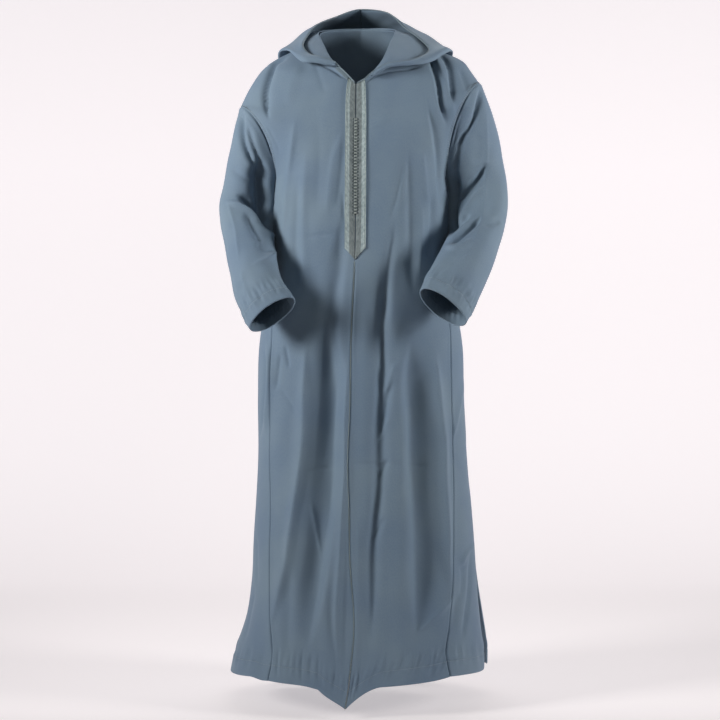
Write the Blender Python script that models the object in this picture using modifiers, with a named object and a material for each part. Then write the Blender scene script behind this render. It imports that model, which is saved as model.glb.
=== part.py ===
"""Hooded djellaba robe, held out in the worn shape it keeps on an average standing man.

Every piece is one that is cut and sewn: two fronts, two side gores, a back, two sleeves, two hood
halves, two braid bands of the placket, the edging of the neck and hood, and a chain of knots.
Metres. +Z is up, the front faces -Y, +X is the wearer's left. The origin lies midway between the
shoulders, at the height where the cloth rests on them.
"""

import math

import bpy
import numpy as np

# ------------------------------------------------------------------ sizes
WALL = 0.0014            # cloth
BAND = 0.0016            # braid of the placket
SEAM_GAP = 0.0004        # between the edges of two pieces at a seam
LAY_GAP = 0.0006         # between a panel and what lies on it
ROUND, ROUND_TOP = 2.3, 1.85     # power of the rounded sections of the body and of the shoulders
BAND_COLS = (0.0, 0.011, 0.0225)     # distances of the first panel columns from the centre front
BAND_SLIT = 0.0011       # half the open slit between the two bands
KNOTS = 31
KNOT_TOP, KNOT_LOW = -0.176, -0.379  # heights of the first and last knot
KNOT_R = 0.0027
EDGING_R = 0.0015
SLEEVE_STEP = 0.0021     # from the panel's edge at the armhole to the sleeve's
SLEEVE_R, SLEEVE_LENGTH = 0.058, 0.52    # usual half width and length of a sleeve
NECK_WIDE = 0.009        # braid along the V of the neck
HOOD_START = {"right": 0.063, "left": 0.036}     # from the point of the V to the hood's end
FRONT_COLS = 10
BACK_COLS = 9            # to each side of the centre back
GORE_COLS = 3
SLEEVE_ROWS = 16
HOOD_COLS = (0.0, 0.06, 0.125, 0.19, 0.25, 0.315, 0.38, 0.44, 0.50, 0.56, 0.625, 0.70, 0.78, 0.86,
             0.93, 0.975, 1.0)
HOOD_ROWS = 11
HOOD_ROLL = 0.007        # how far the hood rolls up over its seam at the nape
TIP_GAP = 0.0006         # more room between the hood's halves at the sharp fold of its point

# Half widths of the body at each height, wearer's right and left, and its depth front and back.
BODY = np.array([
    # z      right   left   front   back
    (0.070, 0.193, 0.194, 0.050, 0.070),
    (0.000, 0.193, 0.194, 0.085, 0.100),
    (-0.050, 0.193, 0.194, 0.104, 0.120),
    (-0.100, 0.193, 0.194, 0.118, 0.133),
    (-0.150, 0.193, 0.194, 0.128, 0.140),
    (-0.220, 0.193, 0.194, 0.139, 0.142),
    (-0.295, 0.193, 0.194, 0.145, 0.136),
    (-0.330, 0.1955, 0.196, 0.146, 0.131),
    (-0.370, 0.1965, 0.1965, 0.147, 0.128),
    (-0.430, 0.197, 0.197, 0.149, 0.126),
    (-0.500, 0.203, 0.203, 0.152, 0.128),
    (-0.580, 0.215, 0.214, 0.156, 0.138),
    (-0.660, 0.226, 0.226, 0.161, 0.150),
    (-0.784, 0.230, 0.230, 0.168, 0.162),
    (-0.896, 0.229, 0.236, 0.176, 0.173),
    (-1.000, 0.233, 0.244, 0.185, 0.185),
    (-1.098, 0.240, 0.253, 0.196, 0.196),
    (-1.187, 0.245, 0.260, 0.206, 0.206),
    (-1.277, 0.260, 0.269, 0.217, 0.216),
    (-1.340, 0.280, 0.276, 0.225, 0.223),
    (-1.420, 0.300, 0.280, 0.234, 0.232),
])
# Where the seam down the front, and the seam between each front and its gore, lie across the body.
SEAMS = np.array([
    # z      centre   right   left
    (-0.090, -0.0110, 0.193, 0.194),
    (-0.295, -0.0118, 0.193, 0.194),
    (-0.350, -0.0120, 0.1910, 0.1915),
    (-0.430, -0.0124, 0.188, 0.188),
    (-0.500, -0.0135, 0.189, 0.189),
    (-0.580, -0.0172, 0.193, 0.192),
    (-0.660, -0.0205, 0.195, 0.195),
    (-0.784, -0.0226, 0.1970, 0.1965),
    (-0.948, -0.0275, 0.1975, 0.1985),
    (-1.000, -0.0250, 0.1965, 0.1990),
    (-1.117, -0.0226, 0.1965, 0.1970),
    (-1.255, -0.0138, 0.1940, 0.1900),
    (-1.320, -0.0168, 0.1900, 0.1810),
    (-1.384, -0.0210, 0.1993, 0.1927),
    (-1.430, -0.0250, 0.2060, 0.2000),
])
# Where the side seams lie, in degrees round from the front. They open as slits below SLIT_TOP: by
# the hem the gore's edge has swung forward and the back panel's edge back.
SIDE_SEAM = np.array([
    # z     right  left
    (-0.30, 90.5, 90.5),
    (-0.48, 94.0, 93.5),
    (-0.66, 96.0, 94.5),
    (-0.90, 97.0, 93.5),
    (-1.08, 97.3, 92.5),
    (-1.42, 97.5, 92.5),
])
SLIT_TOP = -1.09
SLIT_GORE = {"right": 3.0, "left": 7.0}
SLIT_BACK = {"right": 4.0, "left": 11.0}
# Neckline from the point of the V round to the nape. The row marked by y = 0 is the shoulder seam.
NECK_RIGHT = np.array([
    # x       y        z
    (-0.0108, -0.1180, -0.0981),
    (-0.0350, -0.1060, -0.0710),
    (-0.0560, -0.0920, -0.0490),
    (-0.0676, -0.0760, -0.0320),
    (-0.0780, -0.0500, -0.0060),
    (-0.0860, -0.0250, 0.0150),
    (-0.0920, 0.0000, 0.0310),
    (-0.0880, 0.0280, 0.0440),
    (-0.0500, 0.0600, 0.0560),
    (0.0000, 0.0720, 0.0600),
])
NECK_LEFT = np.array([
    # x       y        z
    (-0.0108, -0.1180, -0.0981),
    (0.0165, -0.1070, -0.0790),
    (0.0415, -0.0880, -0.0470),
    (0.0530, -0.0620, -0.0210),
    (0.0640, -0.0320, 0.0080),
    (0.0700, -0.0150, 0.0220),
    (0.0730, 0.0000, 0.0330),
    (0.0750, 0.0250, 0.0460),
    (0.0460, 0.0590, 0.0560),
    (0.0000, 0.0720, 0.0600),
])
NECK_SHOULDER_ROW = 6
# Shoulder seam from the neck out to the top of the armhole.
RIDGE_RIGHT = np.array([
    # x      z
    (-0.0920, 0.0310),
    (-0.1300, 0.0100),
    (-0.1624, -0.0090),
    (-0.1900, -0.0224),
    (-0.2195, -0.0437),
    (-0.2410, -0.0735),
    (-0.2576, -0.1030),
    (-0.2690, -0.1290),
])
RIDGE_LEFT = np.array([
    # x      z
    (0.0730, 0.0330),
    (0.1100, 0.0180),
    (0.1500, 0.0030),
    (0.1917, -0.0095),
    (0.2137, -0.0170),
    (0.2330, -0.0290),
    (0.2453, -0.0475),
    (0.2660, -0.0766),
])
# Armhole: an oval through the top of the shoulder and the underarm, bowed forward and back.
ARMHOLE = {
    "right": dict(top=(-0.2690, 0.0, -0.1290), low=(-0.1930, 0.0, -0.2950),
                  front=(0.020, -0.075, 0.010), back=(0.016, 0.078, 0.010)),
    "left": dict(top=(0.2660, 0.0, -0.0766), low=(0.1940, 0.0, -0.2950),
                 front=(-0.022, -0.078, 0.015), back=(-0.016, 0.080, 0.012)),
}
# Rows of the body panels: the share v down the panel, the height at the centre front and back, and
# how late each row bends up towards the shoulder. Down the edge, v runs along the shoulder, round
# the armhole and down the side.
V_SHOULDER, V_UNDERARM = 0.105, 0.25
ROWS = np.array([
    # v      front    back    bend
    (0.000, -0.0981, 0.060, 1.2),
    (0.025, -0.106, 0.040, 1.2),
    (0.050, -0.121, 0.008, 1.2),
    (0.075, -0.138, -0.028, 1.2),
    (0.105, -0.158, -0.072, 1.3),
    (0.140, -0.182, -0.120, 2.2),
    (0.175, -0.210, -0.170, 2.4),
    (0.210, -0.247, -0.228, 2.3),
    (0.250, -0.295, -0.295, 2.0),
    (0.290, -0.345, -0.345, 1.6),
    (0.360, -0.445, -0.445, 1.5),
    (0.500, -0.655, -0.655, 1.5),
    (0.700, -0.942, -0.942, 1.5),
    (1.000, -1.382, -1.384, 1.5),
])
# Rows of points down the panels; the seams of neighbours share them. The band ends over two rows.
ARMHOLE_STEPS = 8
UPPER_ROWS = (0.0, 0.026, 0.052, 0.078) + tuple(
    V_SHOULDER + (V_UNDERARM - V_SHOULDER) * k / ARMHOLE_STEPS for k in range(ARMHOLE_STEPS))
LOWER_ROWS = (0.250, 0.290, 0.325, 0.3645, 0.3835, 0.430, 0.480, 0.530, 0.580, 0.630, 0.680, 0.730,
              0.780, 0.830, 0.880, 0.920, 0.960, 1.000)
BAND_FOOT = len(UPPER_ROWS) + 3      # number of the last full row of the placket band
GORE_POINT = 0.15        # the gore's point, as a share of the way down to its second row
HEM_SIDE = {"right": -1.390, "left": -1.386}
HEM_GORE = {"right": -1.376, "left": -1.370}
HEM_DIP, HEM_SWING = 0.044, 0.012    # how far the hem's point hangs down and to the right
HEM_POINT = {"right": (0.070, 1.0), "left": (0.066, 2.0)}    # reach and hollowness of its two sides

# Sleeve rings below the armhole: the outer and inner points seen from the front, the ring's place
# and half depth front to back, and how much higher its front is than its middle.
SLEEVE_RIGHT = np.array([
    # ox      oz      ix       iz      y      half    rise
    (-0.2810, -0.170, -0.1968, -0.308, -0.000, 0.078, 0.009),
    (-0.2900, -0.215, -0.1990, -0.323, -0.002, 0.074, 0.006),
    (-0.2985, -0.260, -0.1993, -0.341, -0.005, 0.069, 0.004),
    (-0.3060, -0.305, -0.1990, -0.362, -0.012, 0.063, 0.005),
    (-0.3140, -0.346, -0.1980, -0.386, -0.024, 0.058, 0.010),
    (-0.3115, -0.385, -0.1965, -0.412, -0.045, 0.056, 0.016),
    (-0.2990, -0.440, -0.1900, -0.445, -0.078, 0.055, 0.022),
    (-0.2850, -0.499, -0.1820, -0.482, -0.115, 0.052, 0.026),
    (-0.2710, -0.556, -0.1710, -0.521, -0.150, 0.048, 0.027),
    (-0.2515, -0.598, -0.1560, -0.549, -0.178, 0.042, 0.026),
    (-0.2360, -0.627, -0.1400, -0.570, -0.200, 0.035, 0.022),
])
SLEEVE_LEFT = np.array([
    # ox      oz      ix      iz      y      half    rise
    (0.2830, -0.118, 0.1976, -0.306, -0.000, 0.082, 0.012),
    (0.2985, -0.162, 0.1996, -0.321, -0.002, 0.078, 0.008),
    (0.3100, -0.210, 0.1999, -0.338, -0.005, 0.071, 0.004),
    (0.3185, -0.260, 0.1996, -0.357, -0.010, 0.065, 0.004),
    (0.3235, -0.300, 0.1990, -0.374, -0.018, 0.061, 0.007),
    (0.3255, -0.345, 0.1980, -0.394, -0.032, 0.058, 0.012),
    (0.3150, -0.405, 0.1930, -0.420, -0.064, 0.057, 0.020),
    (0.3000, -0.448, 0.1790, -0.447, -0.103, 0.055, 0.026),
    (0.2795, -0.499, 0.1600, -0.482, -0.142, 0.051, 0.029),
    (0.2594, -0.543, 0.1460, -0.508, -0.170, 0.047, 0.029),
    (0.2420, -0.576, 0.1330, -0.531, -0.194, 0.042, 0.027),
    (0.2210, -0.615, 0.1230, -0.5525, -0.214, 0.036, 0.023),
])
# The hood, lying down: each row crosses one half from the neck seam out under the fold that rests
# on the shoulder or back, and over it to the rim. Rows run from the chest round to the centre back.
HOOD_ALONG = (0.0, 0.24, 0.52, 0.72, 0.88, 1.0)
HOOD_LEFT = np.array([
    # neck seam              under layer             outer fold
    # over layer             top roll                rim
    ((0.0175, -0.1095, -0.0770), (0.0205, -0.1125, -0.0775), (0.0250, -0.1160, -0.0785),
     (0.0262, -0.1182, -0.0768), (0.0250, -0.1190, -0.0748), (0.0225, -0.1185, -0.0730)),
    ((0.0425, -0.0905, -0.0440), (0.0480, -0.1010, -0.0500), (0.0560, -0.1145, -0.0610),
     (0.0572, -0.1170, -0.0590), (0.0560, -0.1180, -0.0565), (0.0530, -0.1170, -0.0545)),
    ((0.0545, -0.0640, -0.0175), (0.0690, -0.0880, -0.0330), (0.0880, -0.1100, -0.0545),
     (0.0895, -0.1130, -0.0525), (0.0885, -0.1140, -0.0500), (0.0855, -0.1130, -0.0480)),
    ((0.0650, -0.0330, 0.0120), (0.0980, -0.0590, -0.0130), (0.1460, -0.0830, -0.0430),
     (0.1455, -0.0895, -0.0395), (0.1360, -0.0935, -0.0380), (0.1240, -0.0945, -0.0370)),
    ((0.0710, -0.0150, 0.0265), (0.1250, -0.0180, 0.0130), (0.1925, -0.0130, -0.0055),
     (0.1900, -0.0270, -0.0030), (0.1740, -0.0410, -0.0055), (0.1510, -0.0500, -0.0100)),
    ((0.0755, 0.0040, 0.0400), (0.1300, 0.0220, 0.0330), (0.2020, 0.0450, -0.0110),
     (0.1995, 0.0370, 0.0030), (0.1790, 0.0240, 0.0170), (0.1320, -0.0100, 0.0230)),
    ((0.0745, 0.0280, 0.0525), (0.1180, 0.0750, 0.0270), (0.1650, 0.1300, -0.1000),
     (0.1780, 0.1160, -0.0150), (0.1480, 0.0800, 0.0490), (0.0980, 0.0320, 0.0580)),
    ((0.0450, 0.0640, 0.0625), (0.0800, 0.1330, -0.0250), (0.0880, 0.1720, -0.2350),
     (0.1200, 0.1850, -0.0950), (0.1030, 0.1320, 0.0640), (0.0620, 0.0700, 0.0980)),
    ((0.0000, 0.0760, 0.0640), (0.0000, 0.1460, -0.0700), (0.0000, 0.1780, -0.3350),
     (0.0000, 0.2130, -0.1600), (0.0000, 0.1800, 0.0480), (0.0000, 0.0980, 0.1120)),
])
HOOD_RIGHT = np.array([
    ((-0.0500, -0.0995, -0.0510), (-0.0525, -0.1020, -0.0525), (-0.0560, -0.1055, -0.0550),
     (-0.0570, -0.1080, -0.0535), (-0.0562, -0.1088, -0.0510), (-0.0545, -0.1080, -0.0490)),
    ((-0.0620, -0.0880, -0.0390), (-0.0670, -0.0945, -0.0440), (-0.0765, -0.1040, -0.0520),
     (-0.0785, -0.1075, -0.0490), (-0.0780, -0.1075, -0.0440), (-0.0755, -0.1045, -0.0400)),
    ((-0.0735, -0.0680, -0.0190), (-0.0830, -0.0830, -0.0290), (-0.0980, -0.1000, -0.0470),
     (-0.1000, -0.1040, -0.0440), (-0.0985, -0.1030, -0.0380), (-0.0930, -0.0980, -0.0330)),
    ((-0.0810, -0.0470, -0.0010), (-0.0980, -0.0660, -0.0140), (-0.1280, -0.0830, -0.0395),
     (-0.1300, -0.0880, -0.0360), (-0.1240, -0.0870, -0.0290), (-0.1135, -0.0830, -0.0255)),
    ((-0.0880, -0.0240, 0.0180), (-0.1150, -0.0280, 0.0120), (-0.1620, -0.0130, -0.0020),
     (-0.1585, -0.0240, -0.0025), (-0.1465, -0.0400, -0.0070), (-0.1290, -0.0520, -0.0020)),
    ((-0.0945, 0.0010, 0.0350), (-0.1220, 0.0160, 0.0320), (-0.1840, 0.0470, -0.0080),
     (-0.1800, 0.0400, 0.0060), (-0.1530, 0.0180, 0.0200), (-0.1220, -0.0120, 0.0265)),
    ((-0.0900, 0.0300, 0.0490), (-0.1200, 0.0760, 0.0330), (-0.1600, 0.1300, -0.0900),
     (-0.1640, 0.1160, -0.0140), (-0.1280, 0.0660, 0.0520), (-0.1010, 0.0290, 0.0620)),
    ((-0.0500, 0.0630, 0.0600), (-0.0820, 0.1320, -0.0250), (-0.0860, 0.1720, -0.2350),
     (-0.1160, 0.1840, -0.0950), (-0.0960, 0.1240, 0.0680), (-0.0600, 0.0720, 0.0890)),
    ((0.0000, 0.0760, 0.0640), (0.0000, 0.1460, -0.0700), (0.0000, 0.1780, -0.3350),
     (0.0000, 0.2130, -0.1600), (0.0000, 0.1800, 0.0480), (0.0000, 0.0980, 0.1120)),
])

# The largest folds. Each runs from high to low through a middle point. Width is from crest to
# foot, height is how far it stands out, and a minus height is a trough.
FOLDS_FRONT = (
    # x1     z1      x2      z2      x3      z3     width  height
    (-0.130, -0.640, -0.142, -0.950, -0.170, -1.240, 0.020, 0.010),
    (-0.100, -0.560, -0.110, -0.900, -0.130, -1.250, 0.034, -0.012),
    (-0.036, -0.620, -0.052, -0.980, -0.045, -1.380, 0.018, 0.009),
    (-0.062, -0.440, -0.068, -0.520, -0.074, -0.640, 0.022, -0.007),
    (0.034, -0.660, 0.052, -0.960, 0.062, -1.300, 0.028, -0.008),
    (0.084, -0.560, 0.082, -0.960, 0.100, -1.360, 0.030, 0.009),
    (0.132, -0.540, 0.138, -0.900, 0.140, -1.230, 0.032, -0.013),
    (0.158, -0.640, 0.172, -0.760, 0.190, -0.890, 0.018, 0.010),
    (-0.194, -0.020, -0.205, -0.085, -0.207, -0.180, 0.012, -0.012),
    (0.166, -0.020, 0.174, -0.070, 0.180, -0.160, 0.012, -0.012),
)
FOLDS_BACK = (
    # x1     z1      x2      z2      x3      z3     width  height
    (-0.150, -0.420, -0.158, -0.860, -0.190, -1.384, 0.036, 0.011),
    (-0.100, -0.380, -0.108, -0.840, -0.120, -1.384, 0.036, -0.013),
    (-0.046, -0.460, -0.052, -0.900, -0.060, -1.384, 0.034, 0.011),
    (0.004, -0.430, 0.000, -0.900, -0.004, -1.384, 0.036, -0.012),
    (0.052, -0.500, 0.060, -0.940, 0.068, -1.384, 0.034, 0.011),
    (0.104, -0.380, 0.112, -0.860, 0.128, -1.384, 0.036, -0.013),
    (0.152, -0.440, 0.162, -0.860, 0.186, -1.384, 0.034, 0.011),
)
# Folds of the sleeves: from and to, as shares of the sleeve's length and degrees round it, where
# 0 is the outside and 90 the front.
FOLDS_SLEEVE = (
    # t1    turn1   t2    turn2  width  height
    (0.06, 60.0, 0.48, 150.0, 0.016, -0.007),
    (0.46, 40.0, 0.60, 165.0, 0.018, 0.007),
    (0.52, 50.0, 0.70, 170.0, 0.016, -0.007),
    (0.10, 250.0, 0.44, 215.0, 0.020, -0.006),
    (0.50, 300.0, 0.62, 200.0, 0.020, 0.006),
)


# ------------------------------------------------------------------ curves and surfaces
def glide(knots, values, at):
    """Points of a smooth curve that passes through the values at the knots."""
    knots = np.asarray(knots, float)
    values = np.asarray(values, float)
    flat = values.ndim == 1
    if flat:
        values = values[:, None]
    at = np.clip(np.asarray(at, float), knots[0], knots[-1])
    step = np.diff(knots)[:, None]
    slope = np.diff(values, axis=0) / step
    bend = np.vstack([slope[:1],
                      (slope[:-1] * step[1:] + slope[1:] * step[:-1]) / (step[:-1] + step[1:]),
                      slope[-1:]])
    i = np.clip(np.searchsorted(knots, at, side="right") - 1, 0, len(knots) - 2)
    h = step[i, 0]
    t = ((at - knots[i]) / h)[..., None]
    h = h[..., None]
    out = ((2 * t**3 - 3 * t**2 + 1) * values[i] + (t**3 - 2 * t**2 + t) * h * bend[i]
           + (3 * t**2 - 2 * t**3) * values[i + 1] + (t**3 - t**2) * h * bend[i + 1])
    return out[..., 0] if flat else out


def soft_step(t):
    t = np.asarray(t, float).clip(0, 1)
    return t * t * (3 - 2 * t)


def column(table, name, at, names):
    """One named column of a table whose first column runs downward in height."""
    k = names.index(name)
    return glide(-table[:, 0], table[:, k], -np.asarray(at, float))


def body(name, z):
    return column(BODY, name, z, ("z", "right", "left", "front", "back"))


def seam(name, z):
    return column(SEAMS, name, z, ("z", "centre", "right", "left"))


def side_seam(side, z, piece):
    """Angle of a side seam; below the top of the slit it is the edge of that one piece."""
    low = ((SLIT_TOP - z) / (SLIT_TOP + 1.39)).clip(0, 1.1)**1.3
    swing = -SLIT_GORE[side] if piece == "gore" else SLIT_BACK[side]
    return np.radians(column(SIDE_SEAM, side, z, ("z", "right", "left")) + swing * low)


def sign(side):
    return -1.0 if side == "right" else 1.0


def armhole(side, turn):
    """Point on the armhole. Turn is 0 at the top and 180 at the underarm; back is negative."""
    hole = ARMHOLE[side]
    top, low = np.array(hole["top"]), np.array(hole["low"])
    bow = np.where(np.asarray(turn)[..., None] >= 0, np.array(hole["front"]), -np.array(hole["back"]))
    rad = np.radians(turn)[..., None]
    swell = np.abs(np.sin(rad))**(1.6, 0.8, 1.2)
    return (top + low) / 2 + np.cos(rad) * (top - low) / 2 + np.sign(np.sin(rad)) * swell * bow


def edge_point(side, face, v):
    """The outer edge of a front (or of one half of the back): shoulder, armhole, then side."""
    v = np.asarray(v, float)
    ridge = RIDGE_RIGHT if side == "right" else RIDGE_LEFT
    run = np.concatenate([[0], np.cumsum(np.hypot(*np.diff(ridge, axis=0).T))])
    on_ridge = glide(run / run[-1], ridge, np.clip(v / V_SHOULDER, 0, 1))
    out = np.stack([on_ridge[..., 0], 0 * v, on_ridge[..., 1]], axis=-1)
    share = np.clip((v - V_SHOULDER) / (V_UNDERARM - V_SHOULDER), 0, 1)
    hole = armhole(side, 180 * share * (1 if face == "front" else -1))
    out = np.where((v > V_SHOULDER)[..., None], hole, out)
    low = np.clip((v - V_UNDERARM) / (1 - V_UNDERARM), 0, 1)
    mid = glide(ROWS[:, 0], ROWS[:, 1 if face == "front" else 2], v)
    hem = HEM_GORE[side] if face == "front" else HEM_SIDE[side]
    z = mid + (hem - ROWS[-1, 1 if face == "front" else 2]) * low**3
    half = body(side, z)
    if face == "front":
        x = np.minimum(seam(side, z), half)
        y = -body("front", z) * (1 - (x / half)**ROUND).clip(0)**(1 / ROUND)
    else:
        angle = side_seam(side, z, "back")
        x = half * np.abs(np.sin(angle))**(2 / ROUND)
        y = body("back", z) * np.abs(np.cos(angle))**(2 / ROUND)
    down = np.stack([sign(side) * x, y, z], axis=-1)
    return np.where((v > V_UNDERARM)[..., None], down, out)


def plain_panel(side, face, u, v):
    """Panel surface without folds; u is 0 at the centre and 1 at the edge, v runs down."""
    u, v = np.broadcast_arrays(np.asarray(u, float), np.asarray(v, float))
    end = edge_point(side, face, v)
    z0 = glide(ROWS[:, 0], ROWS[:, 1 if face == "front" else 2], v)
    x0 = seam("centre", z0) if face == "front" else 0 * z0
    power = ROUND_TOP + (ROUND - ROUND_TOP) * soft_step((v - 0.13) / (V_UNDERARM - 0.13))
    depth_end = body(face, end[..., 2])
    turn = np.arccos((np.abs(end[..., 1]) / depth_end).clip(0, 1)**(power / 2))
    half = np.abs(end[..., 0]) / np.sin(turn)**(2 / power)
    start = sign(side) * x0 / half
    angle0 = np.sign(start) * np.arcsin(np.abs(start)**(power / 2))
    angle = angle0 + (turn - angle0) * u
    out = np.sign(angle) * np.abs(np.sin(angle))**(2 / power)
    x = sign(side) * half * out
    climb = ((x - x0) / (end[..., 0] - x0)).clip(0, 1)
    z = z0 + (end[..., 2] - z0) * climb**glide(ROWS[:, 0], ROWS[:, 3], v)
    y = body(face, z) * np.cos(angle).clip(0)**(2 / power) * (-1 if face == "front" else 1)
    if face == "front":
        reach, hollow = HEM_POINT[side]
        drop = (1 - np.abs(x - x0) / reach).clip(0)**hollow * ((v - 0.93) / 0.07).clip(0, 1)**1.5
        x, z = x - HEM_SWING * drop, z - HEM_DIP * drop
    return np.stack([x, y, z], axis=-1)


def neckline(side, face, u):
    """Neckline under one panel, from its centre to the shoulder seam."""
    table = NECK_RIGHT if side == "right" else NECK_LEFT
    k = NECK_SHOULDER_ROW
    part = table[:k + 1] if face == "front" else table[k:][::-1]
    run = np.concatenate([[0], np.cumsum(np.linalg.norm(np.diff(part, axis=0), axis=1))])
    return glide(run / run[-1], part, u)


def panel(side, face, u, v):
    """Panel surface with its top drawn to the neckline."""
    point = plain_panel(side, face, u, v)
    top = plain_panel(side, face, u, np.zeros_like(v))
    ease = soft_step(1 - np.asarray(v) / 0.085)[..., None]
    return point + ease * (neckline(side, face, u) - top)


def gore(side, u, v):
    """Side gore; u runs from the front seam to the side seam, and v is that of the panels."""
    u, v = np.broadcast_arrays(np.asarray(u, float), np.asarray(v, float))
    front = edge_point(side, "front", v)[..., 2]
    z = front + (edge_point(side, "back", v)[..., 2] - front) * np.sin(u * math.pi / 2)
    half = body(side, z)
    start = np.arcsin((np.minimum(seam(side, front), half) / half).clip(0, 1)**(ROUND / 2))
    angle = start + (side_seam(side, z, "gore") - start) * u
    x = sign(side) * half * np.abs(np.sin(angle))**(2 / ROUND)
    depth = np.where(np.cos(angle) > 0, -body("front", z), body("back", z))
    return np.stack([x, depth * np.abs(np.cos(angle))**(2 / ROUND), z], axis=-1)


def sleeve(side, t, turn):
    """Sleeve surface; t runs from the armhole to the cuff, turn is degrees round from outside."""
    t, turn = np.broadcast_arrays(np.asarray(t, float), np.asarray(turn, float))
    table = SLEEVE_RIGHT if side == "right" else SLEEVE_LEFT
    hole = ARMHOLE[side]
    first = (hole["top"][0], hole["top"][2], hole["low"][0], hole["low"][2], 0.0)
    rows = np.vstack([first, table[:, :5]])
    bow = (np.array(hole["front"]) - np.array(hole["back"])) / 2
    bows = np.vstack([bow] + [(0.0, -r[5], r[6]) for r in table])
    middle = np.stack([(rows[:, 0] + rows[:, 2]) / 2, rows[:, 4], (rows[:, 1] + rows[:, 3]) / 2], 1)
    run = np.concatenate([[0], np.cumsum(np.linalg.norm(np.diff(middle, axis=0), axis=1))])
    run /= run[-1]
    ring = glide(run, np.hstack([rows, bows]), t)
    outer = np.stack([ring[..., 0], ring[..., 4], ring[..., 1]], axis=-1)
    inner = np.stack([ring[..., 2], ring[..., 4], ring[..., 3]], axis=-1)
    rad = np.radians(turn)[..., None]
    point = (outer + inner) / 2 + np.cos(rad) * (outer - inner) / 2 + np.sin(rad) * ring[..., 5:8]
    # At the armhole the ring follows the panels' edge, one step off it.
    top, low = np.array(hole["top"]), np.array(hole["low"])
    off = np.cross(top - low, bow)
    off *= sign(side) * np.sign(off[0]) / np.linalg.norm(off)
    oval = (top + low) / 2 + np.cos(rad) * (top - low) / 2 + np.sin(rad) * bow
    start = armhole(side, (turn + 180) % 360 - 180) + SLEEVE_STEP * off
    return point + soft_step(1 - t / 0.10)[..., None] * (start - oval)


def hood(side, a, t):
    """Hood surface; a runs from the chest to the centre back, t from the neck seam to the rim."""
    net = HOOD_RIGHT if side == "right" else HOOD_LEFT
    a, t = np.broadcast_arrays(np.asarray(a, float), np.asarray(t, float))
    rows = np.arange(len(net) + 1) / (len(net) - 1)
    net = np.vstack([net, net[-2:-1] * (-1, 1, 1)])
    shape = a.shape
    across = np.stack([glide(rows, net[:, k], a.ravel()) for k in range(net.shape[1])], axis=1)
    out = np.empty((a.size, 3))
    for n, (line, share) in enumerate(zip(across, t.ravel())):
        out[n] = glide(HOOD_ALONG, line, share)
    # Round the back of the neck it rolls up over its seam.
    over = np.sin(math.pi * (t.ravel() / HOOD_ALONG[1]).clip(0, 1))
    out[:, 2] += HOOD_ROLL * over * soft_step((a.ravel() - 0.55) / 0.4)
    return out.reshape(shape + (3,))


# ------------------------------------------------------------------ folds
def fold_heights(x, z, folds):
    """How far the folds stand out at each point, seen from the front or back."""
    total = np.zeros_like(x)
    share = np.linspace(0, 1, 25)
    for x1, z1, x2, z2, x3, z3, width, height in folds:
        path_z = glide((0, 0.5, 1), (z1, z2, z3), share)
        path_x = glide((0, 0.5, 1), (x1, x2, x3), share)
        off = (x - np.interp(-z, -path_z, path_x)) / width
        along = np.interp(-z, -path_z, share)
        beyond = np.maximum(z - z1, z3 - z).clip(0) / 0.03
        ends = np.sin(np.pi * (0.12 + 0.80 * along).clip(0, 1)) ** 0.7 * np.exp(-beyond**2)
        total += height * ends * np.exp(-off**2)
    return total


def normals(grid, round_rows=False):
    """Unit normals of a grid of points, from its own rows and columns."""
    if round_rows:
        du = np.roll(grid, -1, axis=0) - np.roll(grid, 1, axis=0)
    else:
        du = np.gradient(grid, axis=0)
    dv = np.gradient(grid, axis=1)
    n = np.cross(du, dv)
    return n / np.linalg.norm(n, axis=-1, keepdims=True).clip(1e-12)


def outward(grid, round_rows=False, centre=None):
    """Unit normals turned away from the body's middle line."""
    n = normals(grid, round_rows)
    middle = np.array([0.0, 0.0, 0.0]) if centre is None else centre
    away = grid - middle
    if centre is None:
        away = away * np.array([1.0, 1.0, 0.0])
    return n * np.sign((n * away).sum(-1, keepdims=True))


def folded(grid, folds, fade=None):
    rise = fold_heights(grid[..., 0], grid[..., 2], folds)
    if fade is not None:
        rise = rise * fade
    return grid + outward(grid) * rise[..., None]


def inset(grid, gap, sides="ulvh"):
    """Draws the edges of a grid in by a gap: u and l are its first and last column of points."""
    out = grid.copy()

    def pull(edge, inner):
        d = inner - edge
        return edge + d * gap / np.linalg.norm(d, axis=-1, keepdims=True)

    if "u" in sides:
        out[0] = pull(out[0], out[1])
    if "l" in sides:
        out[-1] = pull(out[-1], out[-2])
    if "v" in sides:
        out[:, 0] = pull(out[:, 0], out[:, 1])
    if "h" in sides:
        out[:, -1] = pull(out[:, -1], out[:, -2])
    return out


# ------------------------------------------------------------------ building
for old in list(bpy.data.objects):
    bpy.data.objects.remove(old, do_unlink=True)
robe = bpy.data.collections.new("djellaba_robe")
bpy.context.scene.collection.children.link(robe)


def material(name, rgb, rough):
    mat = bpy.data.materials.new(name)
    mat.use_nodes = True
    shader = mat.node_tree.nodes["Principled BSDF"]
    shader.inputs["Base Color"].default_value = (*rgb, 1.0)
    shader.inputs["Roughness"].default_value = rough
    mat.diffuse_color = (*rgb, 1.0)
    return mat


CLOTH = material("robe_cloth", (0.155, 0.205, 0.262), 0.85)
BRAID = material("braid", (0.300, 0.335, 0.320), 0.75)
THREAD = material("knot_thread", (0.120, 0.140, 0.150), 0.70)


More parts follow.
